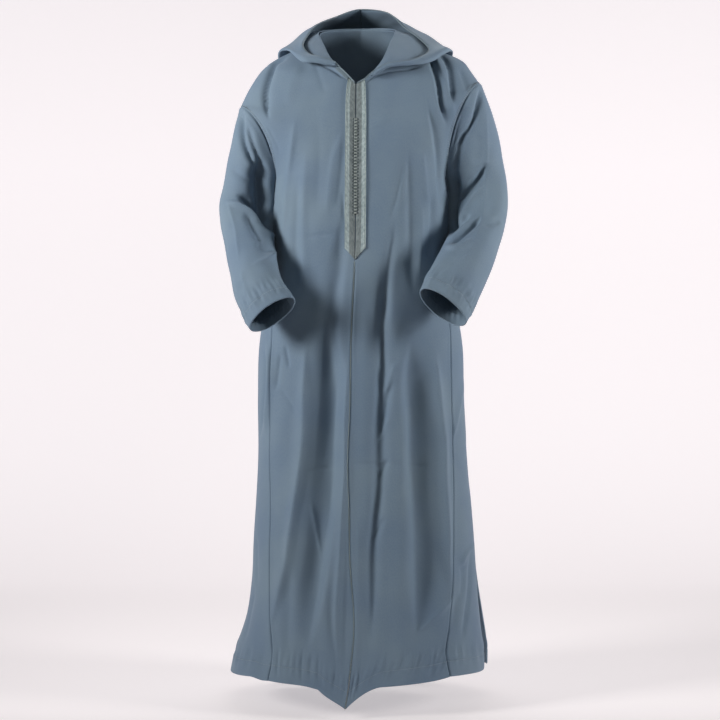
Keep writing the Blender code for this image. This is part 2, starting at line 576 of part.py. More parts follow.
def wall(name, grid, thick, mat, round_rows=False):
    """A cloth piece: the grid of points as an open sheet, given its thickness."""
    nu, nv = grid.shape[:2]
    index = np.arange(nu * nv).reshape(nu, nv)
    last = nu if round_rows else nu - 1
    faces = [(index[i, j], index[(i + 1) % nu, j], index[(i + 1) % nu, j + 1], index[i, j + 1])
             for i in range(last) for j in range(nv - 1)]
    mesh = bpy.data.meshes.new(name)
    mesh.from_pydata(grid.reshape(-1, 3).tolist(), [], [tuple(int(k) for k in f) for f in faces])
    mesh.materials.append(mat)
    obj = bpy.data.objects.new(name, mesh)
    robe.objects.link(obj)
    solid = obj.modifiers.new("cloth wall", "SOLIDIFY")
    solid.thickness = thick
    solid.offset = 0.0
    solid.use_rim = True
    return obj


def by_distance(line, at):
    """Points of a line at the given distances along it."""
    run = np.concatenate([[0], np.cumsum(np.linalg.norm(np.diff(line, axis=0), axis=1))])
    return np.stack([np.interp(at, run, line[:, k]) for k in range(3)], axis=-1), run[-1]


def front_grid(side):
    """The points of one front. Its first columns are those of the placket band."""
    rows = UPPER_ROWS + LOWER_ROWS
    dense = np.linspace(0, 1, 201)
    grid = np.empty((FRONT_COLS, len(rows), 3))
    for j, row in enumerate(rows):
        line = panel(side, "front", dense, np.full_like(dense, row))
        length = by_distance(line, [0.0])[1]
        rest = np.linspace(BAND_COLS[-1], length, FRONT_COLS - len(BAND_COLS) + 1)[1:]
        grid[:, j] = by_distance(line, np.concatenate([BAND_COLS, rest]))[0]
    # No fold pushes the edge at the armhole into the sleeve.
    share = np.linspace(0, 1, FRONT_COLS)[:, None]
    low = ((grid[..., 2] + 0.30) / -0.10).clip(0, 1)
    return folded(grid, FOLDS_FRONT, np.maximum(low, 1 - share**6))


def gore_grid(side, front, back):
    v = np.array(LOWER_ROWS)[None, :]
    u = np.linspace(0, 1, GORE_COLS)[:, None]
    grid = folded(gore(side, u, v), FOLDS_FRONT, 1 - u**2 + 0 * v)
    grid[0] = front[-1, len(UPPER_ROWS):]
    grid[-1, :3] = back[0 if side == "right" else -1, len(UPPER_ROWS):len(UPPER_ROWS) + 3]
    grid[:, 0] += (grid[:, 1] - grid[:, 0]) * GORE_POINT
    return grid


def back_grid():
    v = np.array(UPPER_ROWS + LOWER_ROWS)[None, :]
    u = np.linspace(0, 1, BACK_COLS)[:, None]
    right, left = (panel(side, "back", u, v) for side in ("right", "left"))
    grid = np.concatenate([right[::-1], left[1:]])
    share = np.abs(np.linspace(-1, 1, len(grid)))[:, None]
    tail = ((-0.33 - grid[..., 2]) / 0.10).clip(0, 1)
    return folded(grid, FOLDS_BACK, tail * (1 - share**6))


def sleeve_grid(side):
    t = np.linspace(0, 1, SLEEVE_ROWS)[None, :]
    turn = (np.arange(2 * ARMHOLE_STEPS) * 180 / ARMHOLE_STEPS)[:, None]
    grid = sleeve(side, t, turn)
    rise = np.zeros(grid.shape[:2])
    for t1, turn1, t2, turn2, width, height in FOLDS_SLEEVE:
        along = (t - t1) / (t2 - t1) + 0 * turn
        spot = turn1 + (turn2 - turn1) * along.clip(0, 1)
        slant = math.atan2(math.radians(turn2 - turn1) * SLEEVE_R, (t2 - t1) * SLEEVE_LENGTH)
        off = np.radians((turn - spot + 180) % 360 - 180) * SLEEVE_R * math.cos(slant)
        rise += height * np.sin(math.pi * along.clip(0, 1)) * np.exp(-(off / width)**2)
    n = normals(grid, True)
    n *= np.sign((n * (grid - grid.mean(axis=0, keepdims=True))).sum(-1, keepdims=True))
    return grid + n * rise[..., None]


def band_grid(front):
    """A placket band, made from the first columns of a front and moved out; it ends in a point."""
    out = outward(front)
    step = (WALL + BAND) / 2 + LAY_GAP
    lifted = front + out * step
    rows, cols = BAND_FOOT, len(BAND_COLS)
    grid = lifted[:cols, :rows + 2].copy()
    for k, reach in enumerate((1.0, 0.51, 0.05)):
        grid[k, -1] = lifted[k, rows] + (lifted[k, rows + 1] - lifted[k, rows]) * reach
    # The bands part along the slit.
    shift = BAND_SLIT * np.ones(grid.shape[1])
    shift[-2:] = SEAM_GAP / 2
    grid[0, :, 0] += np.sign(grid[-1, :, 0] - grid[0, :, 0]) * shift
    return grid


def neck_band(side):
    """Braid along the V of the neck, from the placket's edge to the start of the hood."""
    line = neckline(side, "front", np.linspace(0, 1, 101))
    inner, _ = by_distance(line, np.linspace(BAND_COLS[-1] + 0.0010, HOOD_START[side] - 0.001, 7))
    below = panel(side, "front", np.linspace(0, 1, 101), np.full(101, 0.020))
    near = np.array([below[np.argmin(np.linalg.norm(below - p, axis=1))] for p in inner])
    across = near - inner
    across /= np.linalg.norm(across, axis=1, keepdims=True)
    outer = inner + across * NECK_WIDE
    grid = np.stack([inner, outer])
    n = normals(grid)
    n *= np.sign(-n[..., 1:2])
    return grid + n * ((WALL + BAND) / 2 + LAY_GAP + 0.0006)


def cord(name, path, radius, mat, sides=6):
    """A round cord along a path, with flat ends."""
    path = np.asarray(path, float)
    tangent = np.gradient(path, axis=0)
    tangent[-1] = (np.sign(tangent[-1, 0]), 0.0, 0.0)
    tangent /= np.linalg.norm(tangent, axis=1, keepdims=True)
    up = np.cross(tangent, (0.0, -0.6, 0.8))
    for i in range(1, len(path)):
        up[i] = up[i - 1] - tangent[i] * (up[i - 1] @ tangent[i])
    up /= np.linalg.norm(up, axis=1, keepdims=True)
    other = np.cross(tangent, up)
    turn = np.arange(sides) * 2 * math.pi / sides
    ring = np.cos(turn)[None, :, None] * up[:, None] + np.sin(turn)[None, :, None] * other[:, None]
    points = path[:, None] + radius * ring
    rows = len(path)
    faces = [[i * sides + k, i * sides + (k + 1) % sides, (i + 1) * sides + (k + 1) % sides,
              (i + 1) * sides + k] for i in range(rows - 1) for k in range(sides)]
    faces += [list(range(sides))[::-1], [(rows - 1) * sides + k for k in range(sides)]]
    mesh = bpy.data.meshes.new(name)
    mesh.from_pydata(points.reshape(-1, 3).tolist(), [], faces)
    mesh.materials.append(mat)
    obj = bpy.data.objects.new(name, mesh)
    robe.objects.link(obj)
    return obj


def edging_path(side):
    """Along the V beside the point of the placket, then round the rim of the hood."""
    edge = neckline(side, "front", np.linspace(0, 1, 101))
    rest = panel(side, "front", np.linspace(0, 1, 101), np.full(101, 0.006))
    n = outward(np.stack([edge, rest], axis=1))[:, 0]
    lift = WALL / 2 + BAND + 2 * LAY_GAP + EDGING_R
    line = edge + n * lift
    first = by_distance(line, np.linspace(0.004, HOOD_START[side] - 0.012, 5))[0]
    cols = np.array(HOOD_COLS)
    rim = hood(side, cols, np.ones(len(cols)))
    along = np.gradient(rim, axis=0)
    along /= np.linalg.norm(along, axis=1, keepdims=True)
    out = rim - hood(side, cols, np.full(len(cols), 1 - 1 / (HOOD_ROWS - 1)))
    out -= along * (out * along).sum(1, keepdims=True)
    out /= np.linalg.norm(out, axis=1, keepdims=True)
    rim = rim + out * (EDGING_R + LAY_GAP)
    rim[-1, 0] = sign(side) * SEAM_GAP / 2
    return np.vstack([first, rim])


front_points = {side: front_grid(side) for side in ("right", "left")}
centre = (front_points["right"][0] + front_points["left"][0]) / 2
for side in ("right", "left"):
    front_points[side][0] = centre
back_points = back_grid()
wall("back", inset(back_points, SEAM_GAP, "ulv"), WALL, CLOTH)
for side in ("right", "left"):
    front = front_points[side]
    wall("front_" + side, inset(front, SEAM_GAP / 2, "ulv"), WALL, CLOTH)
    wall("gore_" + side, inset(gore_grid(side, front, back_points), SEAM_GAP, "ulv"), WALL, CLOTH)
    wall("sleeve_" + side, sleeve_grid(side), WALL, CLOTH, round_rows=True)
    half = hood(side, np.array(HOOD_COLS)[:, None], np.linspace(0, 1, HOOD_ROWS)[None, :])
    tip = np.exp(-((np.linspace(0, 1, HOOD_ROWS) - HOOD_ALONG[2]) / 0.12)**2)
    half[-1, :, 0] = sign(side) * (SEAM_GAP + TIP_GAP * tip) / 2
    wall("hood_" + side, half, WALL, CLOTH)
    wall("placket_" + side, inset(band_grid(front), SEAM_GAP, "v"), BAND, BRAID)
    cord("edging_" + side, edging_path(side), EDGING_R, BRAID)
wall("neck_braid_right", neck_band("right"), BAND, BRAID)

bands = {side: band_grid(front_points[side])[0] for side in ("right", "left")}
slit = (bands["right"] + bands["left"]) / 2
for n, z in enumerate(np.linspace(KNOT_TOP, KNOT_LOW, KNOTS)):
    at = [np.interp(-z, -slit[:, 2], slit[:, k]) for k in range(2)]
    bpy.ops.mesh.primitive_uv_sphere_add(segments=8, ring_count=6, radius=KNOT_R,
                                         location=(at[0], at[1] - BAND / 2 - KNOT_R, z))
    knot = bpy.context.object
    knot.name = "knot_%02d" % (n + 1)
    knot.data.materials.append(THREAD)
    for holder in list(knot.users_collection):
        holder.objects.unlink(knot)
    robe.objects.link(knot)
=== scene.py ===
"""Hooded djellaba robe in slate wool-blend twill, made over the packed model of the same robe.

The cloth follows the smooth surfaces that the model was made from, and adds seams, turned hems,
braid, knots, stitches and the small folds. Metres. +Z is up, the front faces -Y, and +X is the
wearer's left.
"""
import math

import bmesh
import bpy
import numpy as np
from bpy.props import FloatProperty, IntProperty, PointerProperty, StringProperty
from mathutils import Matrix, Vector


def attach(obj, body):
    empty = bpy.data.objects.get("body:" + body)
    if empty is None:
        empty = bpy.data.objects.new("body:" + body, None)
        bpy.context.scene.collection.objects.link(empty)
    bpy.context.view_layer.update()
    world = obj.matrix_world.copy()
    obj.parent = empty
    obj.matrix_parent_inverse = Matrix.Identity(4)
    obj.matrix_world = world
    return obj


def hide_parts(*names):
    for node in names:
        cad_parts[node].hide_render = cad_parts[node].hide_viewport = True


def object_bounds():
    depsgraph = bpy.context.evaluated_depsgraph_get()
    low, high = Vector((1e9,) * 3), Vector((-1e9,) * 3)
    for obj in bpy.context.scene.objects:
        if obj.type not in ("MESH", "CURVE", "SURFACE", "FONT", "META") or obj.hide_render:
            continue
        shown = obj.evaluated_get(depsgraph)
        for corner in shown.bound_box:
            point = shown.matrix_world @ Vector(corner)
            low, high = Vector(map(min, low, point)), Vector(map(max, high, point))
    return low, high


bl_info = {
    "name": "Hooded djellaba robe",
    "version": (1, 0, 0),
    "blender": (4, 5, 0),
    "location": "View3D > Sidebar > Robe",
    "description": "Makes a hooded djellaba with braid, knots and stitching",
    "category": "Add Mesh",
}

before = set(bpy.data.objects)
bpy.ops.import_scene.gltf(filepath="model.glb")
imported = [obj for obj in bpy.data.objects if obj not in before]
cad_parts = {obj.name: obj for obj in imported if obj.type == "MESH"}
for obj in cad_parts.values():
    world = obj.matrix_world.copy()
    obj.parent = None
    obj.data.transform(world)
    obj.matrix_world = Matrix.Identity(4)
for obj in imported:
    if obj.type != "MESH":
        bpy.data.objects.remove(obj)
CAD_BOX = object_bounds()

# ------------------------------------------------------------------ the robe's own surfaces
WALL = 0.0013            # cloth
ROUND, ROUND_TOP = 2.3, 1.85     # power of the rounded sections of the body and of the shoulders
BAND_WIDE = 0.0225       # one braid of the placket
BAND_THICK = 0.0018
SLIT = 0.0011            # half the open slit between the two braids
PIPING_R = 0.0015
SLEEVE_STEP = 0.0012     # from the panel's edge at the armhole to the sleeve's
HOOD_START = {"right": 0.063, "left": 0.036}     # from the point of the V to the hood's end
HOOD_ROLL = 0.007        # how far the hood rolls up over its seam at the nape

# Half widths of the body at each height, wearer's right and left, and its depth front and back.
BODY = np.array([
    # z      right   left   front   back
    (0.070, 0.193, 0.194, 0.050, 0.070),
    (0.000, 0.193, 0.194, 0.085, 0.100),
    (-0.050, 0.193, 0.194, 0.104, 0.120),
    (-0.100, 0.193, 0.194, 0.118, 0.133),
    (-0.150, 0.193, 0.194, 0.128, 0.140),
    (-0.220, 0.193, 0.194, 0.139, 0.142),
    (-0.295, 0.193, 0.194, 0.145, 0.136),
    (-0.330, 0.1955, 0.196, 0.146, 0.131),
    (-0.370, 0.1965, 0.1965, 0.147, 0.128),
    (-0.430, 0.197, 0.197, 0.149, 0.126),
    (-0.500, 0.203, 0.203, 0.152, 0.128),
    (-0.580, 0.215, 0.214, 0.156, 0.138),
    (-0.660, 0.226, 0.226, 0.161, 0.150),
    (-0.784, 0.230, 0.230, 0.168, 0.162),
    (-0.896, 0.229, 0.236, 0.176, 0.173),
    (-1.000, 0.233, 0.244, 0.185, 0.185),
    (-1.098, 0.240, 0.253, 0.196, 0.196),
    (-1.187, 0.245, 0.260, 0.206, 0.206),
    (-1.277, 0.260, 0.269, 0.217, 0.216),
    (-1.340, 0.280, 0.276, 0.225, 0.223),
    (-1.420, 0.300, 0.280, 0.234, 0.232),
])
# Where the seam down the front, and the seam between each front and its gore, lie across the body.
SEAMS = np.array([
    # z      centre   right   left
    (-0.090, -0.0110, 0.193, 0.194),
    (-0.295, -0.0118, 0.193, 0.194),
    (-0.350, -0.0120, 0.1910, 0.1915),
    (-0.430, -0.0124, 0.188, 0.188),
    (-0.500, -0.0135, 0.189, 0.189),
    (-0.580, -0.0172, 0.193, 0.192),
    (-0.660, -0.0205, 0.195, 0.195),
    (-0.784, -0.0226, 0.1970, 0.1965),
    (-0.948, -0.0275, 0.1975, 0.1985),
    (-1.000, -0.0250, 0.1965, 0.1990),
    (-1.117, -0.0226, 0.1965, 0.1970),
    (-1.255, -0.0138, 0.1940, 0.1900),
    (-1.320, -0.0168, 0.1900, 0.1810),
    (-1.384, -0.0210, 0.1993, 0.1927),
    (-1.430, -0.0250, 0.2060, 0.2000),
])
# Where the side seams lie, in degrees round from the front. They open as slits below SLIT_TOP: by
# the hem the gore's edge has swung forward and the back panel's edge back.
SIDE_SEAM = np.array([
    # z     right  left
    (-0.30, 90.5, 90.5),
    (-0.48, 94.0, 93.5),
    (-0.66, 96.0, 94.5),
    (-0.90, 97.0, 93.5),
    (-1.08, 97.3, 92.5),
    (-1.42, 97.5, 92.5),
])
SLIT_TOP = -1.09
SLIT_GORE = {"right": 3.0, "left": 7.0}
SLIT_BACK = {"right": 4.0, "left": 11.0}
# Neckline from the point of the V round to the nape. The row marked by y = 0 is the shoulder seam.
NECK_RIGHT = np.array([
    # x       y        z
    (-0.0108, -0.1180, -0.0981),
    (-0.0350, -0.1060, -0.0710),
    (-0.0560, -0.0920, -0.0490),
    (-0.0676, -0.0760, -0.0320),
    (-0.0780, -0.0500, -0.0060),
    (-0.0860, -0.0250, 0.0150),
    (-0.0920, 0.0000, 0.0310),
    (-0.0880, 0.0280, 0.0440),
    (-0.0500, 0.0600, 0.0560),
    (0.0000, 0.0720, 0.0600),
])
NECK_LEFT = np.array([
    # x       y        z
    (-0.0108, -0.1180, -0.0981),
    (0.0165, -0.1070, -0.0790),
    (0.0415, -0.0880, -0.0470),
    (0.0530, -0.0620, -0.0210),
    (0.0640, -0.0320, 0.0080),
    (0.0700, -0.0150, 0.0220),
    (0.0730, 0.0000, 0.0330),
    (0.0750, 0.0250, 0.0460),
    (0.0460, 0.0590, 0.0560),
    (0.0000, 0.0720, 0.0600),
])
NECK_SHOULDER_ROW = 6
# Shoulder seam from the neck out to the top of the armhole.
RIDGE_RIGHT = np.array([
    # x      z
    (-0.0920, 0.0310),
    (-0.1300, 0.0100),
    (-0.1624, -0.0090),
    (-0.1900, -0.0224),
    (-0.2195, -0.0437),
    (-0.2410, -0.0735),
    (-0.2576, -0.1030),
    (-0.2690, -0.1290),
])
RIDGE_LEFT = np.array([
    # x      z
    (0.0730, 0.0330),
    (0.1100, 0.0180),
    (0.1500, 0.0030),
    (0.1917, -0.0095),
    (0.2137, -0.0170),
    (0.2330, -0.0290),
    (0.2453, -0.0475),
    (0.2660, -0.0766),
])
# Armhole: an oval through the top of the shoulder and the underarm, bowed forward and back.
ARMHOLE = {
    "right": dict(top=(-0.2690, 0.0, -0.1290), low=(-0.1930, 0.0, -0.2950),
                  front=(0.020, -0.075, 0.010), back=(0.016, 0.078, 0.010)),
    "left": dict(top=(0.2660, 0.0, -0.0766), low=(0.1940, 0.0, -0.2950),
                 front=(-0.022, -0.078, 0.015), back=(-0.016, 0.080, 0.012)),
}
# Rows of the body panels: the share v down the panel, the height at the centre front and back, and
# how late each row bends up towards the shoulder. Down the edge, v runs along the shoulder, round
# the armhole and down the side.
V_SHOULDER, V_UNDERARM = 0.105, 0.25
ROWS = np.array([
    # v      front    back    bend
    (0.000, -0.0981, 0.060, 1.2),
    (0.025, -0.106, 0.040, 1.2),
    (0.050, -0.121, 0.008, 1.2),
    (0.075, -0.138, -0.028, 1.2),
    (0.105, -0.158, -0.072, 1.3),
    (0.140, -0.182, -0.120, 2.2),
    (0.175, -0.210, -0.170, 2.4),
    (0.210, -0.247, -0.228, 2.3),
    (0.250, -0.295, -0.295, 2.0),
    (0.290, -0.345, -0.345, 1.6),
    (0.360, -0.445, -0.445, 1.5),
    (0.500, -0.655, -0.655, 1.5),
    (0.700, -0.942, -0.942, 1.5),
    (1.000, -1.382, -1.384, 1.5),
])
HEM_SIDE = {"right": -1.390, "left": -1.386}
HEM_GORE = {"right": -1.376, "left": -1.370}
HEM_DIP, HEM_SWING = 0.044, 0.012    # how far the hem's point hangs down and to the right
HEM_POINT = {"right": (0.070, 1.0), "left": (0.066, 2.0)}    # reach and hollowness of its two sides

# Sleeve rings below the armhole: the outer and inner points seen from the front, the ring's place
# and half depth front to back, and how much higher its front is than its middle.
SLEEVE_RIGHT = np.array([
    # ox      oz      ix       iz      y      half    rise
    (-0.2810, -0.170, -0.1968, -0.308, -0.000, 0.078, 0.009),
    (-0.2900, -0.215, -0.1990, -0.323, -0.002, 0.074, 0.006),
    (-0.2985, -0.260, -0.1993, -0.341, -0.005, 0.069, 0.004),
    (-0.3060, -0.305, -0.1990, -0.362, -0.012, 0.063, 0.005),
    (-0.3140, -0.346, -0.1980, -0.386, -0.024, 0.058, 0.010),
    (-0.3115, -0.385, -0.1965, -0.412, -0.045, 0.056, 0.016),
    (-0.2990, -0.440, -0.1900, -0.445, -0.078, 0.055, 0.022),
    (-0.2850, -0.499, -0.1820, -0.482, -0.115, 0.052, 0.026),
    (-0.2710, -0.556, -0.1710, -0.521, -0.150, 0.048, 0.027),
    (-0.2515, -0.598, -0.1560, -0.549, -0.178, 0.042, 0.026),
    (-0.2360, -0.627, -0.1400, -0.570, -0.200, 0.035, 0.022),
])
SLEEVE_LEFT = np.array([
    # ox      oz      ix      iz      y      half    rise
    (0.2830, -0.118, 0.1976, -0.306, -0.000, 0.082, 0.012),
    (0.2985, -0.162, 0.1996, -0.321, -0.002, 0.078, 0.008),
    (0.3100, -0.210, 0.1999, -0.338, -0.005, 0.071, 0.004),
    (0.3185, -0.260, 0.1996, -0.357, -0.010, 0.065, 0.004),
    (0.3235, -0.300, 0.1990, -0.374, -0.018, 0.061, 0.007),
    (0.3255, -0.345, 0.1980, -0.394, -0.032, 0.058, 0.012),
    (0.3150, -0.405, 0.1930, -0.420, -0.064, 0.057, 0.020),
    (0.3000, -0.448, 0.1790, -0.447, -0.103, 0.055, 0.026),
    (0.2795, -0.499, 0.1600, -0.482, -0.142, 0.051, 0.029),
    (0.2594, -0.543, 0.1460, -0.508, -0.170, 0.047, 0.029),
    (0.2420, -0.576, 0.1330, -0.531, -0.194, 0.042, 0.027),
    (0.2210, -0.615, 0.1230, -0.5525, -0.214, 0.036, 0.023),
])
# The hood, lying down: each row crosses one half from the neck seam out under the fold that rests
# on the shoulder or back, and over it to the rim. Rows run from the chest round to the centre back.
HOOD_ALONG = (0.0, 0.24, 0.52, 0.72, 0.88, 1.0)
HOOD_LEFT = np.array([
    # neck seam              under layer             outer fold
    # over layer             top roll                rim
    ((0.0175, -0.1095, -0.0770), (0.0205, -0.1125, -0.0775), (0.0250, -0.1160, -0.0785),
     (0.0262, -0.1182, -0.0768), (0.0250, -0.1190, -0.0748), (0.0225, -0.1185, -0.0730)),
    ((0.0425, -0.0905, -0.0440), (0.0480, -0.1010, -0.0500), (0.0560, -0.1145, -0.0610),
     (0.0572, -0.1170, -0.0590), (0.0560, -0.1180, -0.0565), (0.0530, -0.1170, -0.0545)),
    ((0.0545, -0.0640, -0.0175), (0.0690, -0.0880, -0.0330), (0.0880, -0.1100, -0.0545),
     (0.0895, -0.1130, -0.0525), (0.0885, -0.1140, -0.0500), (0.0855, -0.1130, -0.0480)),
    ((0.0650, -0.0330, 0.0120), (0.0980, -0.0590, -0.0130), (0.1460, -0.0830, -0.0430),
     (0.1455, -0.0895, -0.0395), (0.1360, -0.0935, -0.0380), (0.1240, -0.0945, -0.0370)),
    ((0.0710, -0.0150, 0.0265), (0.1250, -0.0180, 0.0130), (0.1925, -0.0130, -0.0055),
     (0.1900, -0.0270, -0.0030), (0.1740, -0.0410, -0.0055), (0.1510, -0.0500, -0.0100)),
    ((0.0755, 0.0040, 0.0400), (0.1300, 0.0220, 0.0330), (0.2020, 0.0450, -0.0110),
     (0.1995, 0.0370, 0.0030), (0.1790, 0.0240, 0.0170), (0.1320, -0.0100, 0.0230)),
    ((0.0745, 0.0280, 0.0525), (0.1180, 0.0750, 0.0270), (0.1650, 0.1300, -0.1000),
     (0.1780, 0.1160, -0.0150), (0.1480, 0.0800, 0.0490), (0.0980, 0.0320, 0.0580)),
    ((0.0450, 0.0640, 0.0625), (0.0800, 0.1330, -0.0250), (0.0880, 0.1720, -0.2350),
     (0.1200, 0.1850, -0.0950), (0.1030, 0.1320, 0.0640), (0.0620, 0.0700, 0.0980)),
    ((0.0000, 0.0760, 0.0640), (0.0000, 0.1460, -0.0700), (0.0000, 0.1780, -0.3350),
     (0.0000, 0.2130, -0.1600), (0.0000, 0.1800, 0.0480), (0.0000, 0.0980, 0.1120)),
])
HOOD_RIGHT = np.array([
    ((-0.0500, -0.0995, -0.0510), (-0.0525, -0.1020, -0.0525), (-0.0560, -0.1055, -0.0550),
     (-0.0570, -0.1080, -0.0535), (-0.0562, -0.1088, -0.0510), (-0.0545, -0.1080, -0.0490)),
    ((-0.0620, -0.0880, -0.0390), (-0.0670, -0.0945, -0.0440), (-0.0765, -0.1040, -0.0520),
     (-0.0785, -0.1075, -0.0490), (-0.0780, -0.1075, -0.0440), (-0.0755, -0.1045, -0.0400)),
    ((-0.0735, -0.0680, -0.0190), (-0.0830, -0.0830, -0.0290), (-0.0980, -0.1000, -0.0470),
     (-0.1000, -0.1040, -0.0440), (-0.0985, -0.1030, -0.0380), (-0.0930, -0.0980, -0.0330)),
    ((-0.0810, -0.0470, -0.0010), (-0.0980, -0.0660, -0.0140), (-0.1280, -0.0830, -0.0395),
     (-0.1300, -0.0880, -0.0360), (-0.1240, -0.0870, -0.0290), (-0.1135, -0.0830, -0.0255)),
    ((-0.0880, -0.0240, 0.0180), (-0.1150, -0.0280, 0.0120), (-0.1620, -0.0130, -0.0020),
     (-0.1585, -0.0240, -0.0025), (-0.1465, -0.0400, -0.0070), (-0.1290, -0.0520, -0.0020)),
    ((-0.0945, 0.0010, 0.0350), (-0.1220, 0.0160, 0.0320), (-0.1840, 0.0470, -0.0080),
     (-0.1800, 0.0400, 0.0060), (-0.1530, 0.0180, 0.0200), (-0.1220, -0.0120, 0.0265)),
    ((-0.0900, 0.0300, 0.0490), (-0.1200, 0.0760, 0.0330), (-0.1600, 0.1300, -0.0900),
     (-0.1640, 0.1160, -0.0140), (-0.1280, 0.0660, 0.0520), (-0.1010, 0.0290, 0.0620)),
    ((-0.0500, 0.0630, 0.0600), (-0.0820, 0.1320, -0.0250), (-0.0860, 0.1720, -0.2350),
     (-0.1160, 0.1840, -0.0950), (-0.0960, 0.1240, 0.0680), (-0.0600, 0.0720, 0.0890)),
    ((0.0000, 0.0760, 0.0640), (0.0000, 0.1460, -0.0700), (0.0000, 0.1780, -0.3350),
     (0.0000, 0.2130, -0.1600), (0.0000, 0.1800, 0.0480), (0.0000, 0.0980, 0.1120)),
])

# ------------------------------------------------------------------ curves and surfaces
def glide(knots, values, at):
    """Points of a smooth curve that passes through the values at the knots."""
    knots = np.asarray(knots, float)
    values = np.asarray(values, float)
    flat = values.ndim == 1
    if flat:
        values = values[:, None]
    at = np.clip(np.asarray(at, float), knots[0], knots[-1])
    step = np.diff(knots)[:, None]
    slope = np.diff(values, axis=0) / step
    bend = np.vstack([slope[:1],
                      (slope[:-1] * step[1:] + slope[1:] * step[:-1]) / (step[:-1] + step[1:]),
                      slope[-1:]])
    i = np.clip(np.searchsorted(knots, at, side="right") - 1, 0, len(knots) - 2)
    h = step[i, 0]
    t = ((at - knots[i]) / h)[..., None]
    h = h[..., None]
    out = ((2 * t**3 - 3 * t**2 + 1) * values[i] + (t**3 - 2 * t**2 + t) * h * bend[i]
           + (3 * t**2 - 2 * t**3) * values[i + 1] + (t**3 - t**2) * h * bend[i + 1])
    return out[..., 0] if flat else out


def soft_step(t):
    t = np.asarray(t, float).clip(0, 1)
    return t * t * (3 - 2 * t)


def column(table, name, at, names):
    """One named column of a table whose first column runs downward in height."""
    k = names.index(name)
    return glide(-table[:, 0], table[:, k], -np.asarray(at, float))


def body(name, z):
    return column(BODY, name, z, ("z", "right", "left", "front", "back"))


def seam(name, z):
    return column(SEAMS, name, z, ("z", "centre", "right", "left"))


def side_seam(side, z, piece):
    """Angle of a side seam; below the top of the slit it is the edge of that one piece."""
    low = ((SLIT_TOP - z) / (SLIT_TOP + 1.39)).clip(0, 1.1)**1.3
    swing = -SLIT_GORE[side] if piece == "gore" else SLIT_BACK[side]
    return np.radians(column(SIDE_SEAM, side, z, ("z", "right", "left")) + swing * low)


def sign(side):
    return -1.0 if side == "right" else 1.0


def armhole(side, turn):
    """Point on the armhole. Turn is 0 at the top and 180 at the underarm; back is negative."""
    hole = ARMHOLE[side]
    top, low = np.array(hole["top"]), np.array(hole["low"])
    bow = np.where(np.asarray(turn)[..., None] >= 0, np.array(hole["front"]), -np.array(hole["back"]))
    rad = np.radians(turn)[..., None]
    swell = np.abs(np.sin(rad))**(1.6, 0.8, 1.2)
    return (top + low) / 2 + np.cos(rad) * (top - low) / 2 + np.sign(np.sin(rad)) * swell * bow


def edge_point(side, face, v):
    """The outer edge of a front (or of one half of the back): shoulder, armhole, then side."""
    v = np.asarray(v, float)
    ridge = RIDGE_RIGHT if side == "right" else RIDGE_LEFT
    run = np.concatenate([[0], np.cumsum(np.hypot(*np.diff(ridge, axis=0).T))])
    on_ridge = glide(run / run[-1], ridge, np.clip(v / V_SHOULDER, 0, 1))
    out = np.stack([on_ridge[..., 0], 0 * v, on_ridge[..., 1]], axis=-1)
    share = np.clip((v - V_SHOULDER) / (V_UNDERARM - V_SHOULDER), 0, 1)
    hole = armhole(side, 180 * share * (1 if face == "front" else -1))
    out = np.where((v > V_SHOULDER)[..., None], hole, out)
    low = np.clip((v - V_UNDERARM) / (1 - V_UNDERARM), 0, 1)
    mid = glide(ROWS[:, 0], ROWS[:, 1 if face == "front" else 2], v)
    hem = HEM_GORE[side] if face == "front" else HEM_SIDE[side]
    z = mid + (hem - ROWS[-1, 1 if face == "front" else 2]) * low**3
    half = body(side, z)
    if face == "front":
        x = np.minimum(seam(side, z), half)
        y = -body("front", z) * (1 - (x / half)**ROUND).clip(0)**(1 / ROUND)
    else:
        angle = side_seam(side, z, "back")
        x = half * np.abs(np.sin(angle))**(2 / ROUND)
        y = body("back", z) * np.abs(np.cos(angle))**(2 / ROUND)
    down = np.stack([sign(side) * x, y, z], axis=-1)
    return np.where((v > V_UNDERARM)[..., None], down, out)


def plain_panel(side, face, u, v):
    """Panel surface without folds; u is 0 at the centre and 1 at the edge, v runs down."""
    u, v = np.broadcast_arrays(np.asarray(u, float), np.asarray(v, float))
    end = edge_point(side, face, v)
    z0 = glide(ROWS[:, 0], ROWS[:, 1 if face == "front" else 2], v)
    x0 = seam("centre", z0) if face == "front" else 0 * z0
    power = ROUND_TOP + (ROUND - ROUND_TOP) * soft_step((v - 0.13) / (V_UNDERARM - 0.13))
    depth_end = body(face, end[..., 2])
    turn = np.arccos((np.abs(end[..., 1]) / depth_end).clip(0, 1)**(power / 2))
    half = np.abs(end[..., 0]) / np.sin(turn)**(2 / power)
    start = sign(side) * x0 / half
    angle0 = np.sign(start) * np.arcsin(np.abs(start)**(power / 2))
    angle = angle0 + (turn - angle0) * u
    out = np.sign(angle) * np.abs(np.sin(angle))**(2 / power)
    x = sign(side) * half * out
    climb = ((x - x0) / (end[..., 0] - x0)).clip(0, 1)
    z = z0 + (end[..., 2] - z0) * climb**glide(ROWS[:, 0], ROWS[:, 3], v)
    y = body(face, z) * np.cos(angle).clip(0)**(2 / power) * (-1 if face == "front" else 1)
    if face == "front":
        reach, hollow = HEM_POINT[side]
        drop = (1 - np.abs(x - x0) / reach).clip(0)**hollow * ((v - 0.93) / 0.07).clip(0, 1)**1.5
        x, z = x - HEM_SWING * drop, z - HEM_DIP * drop
    return np.stack([x, y, z], axis=-1)


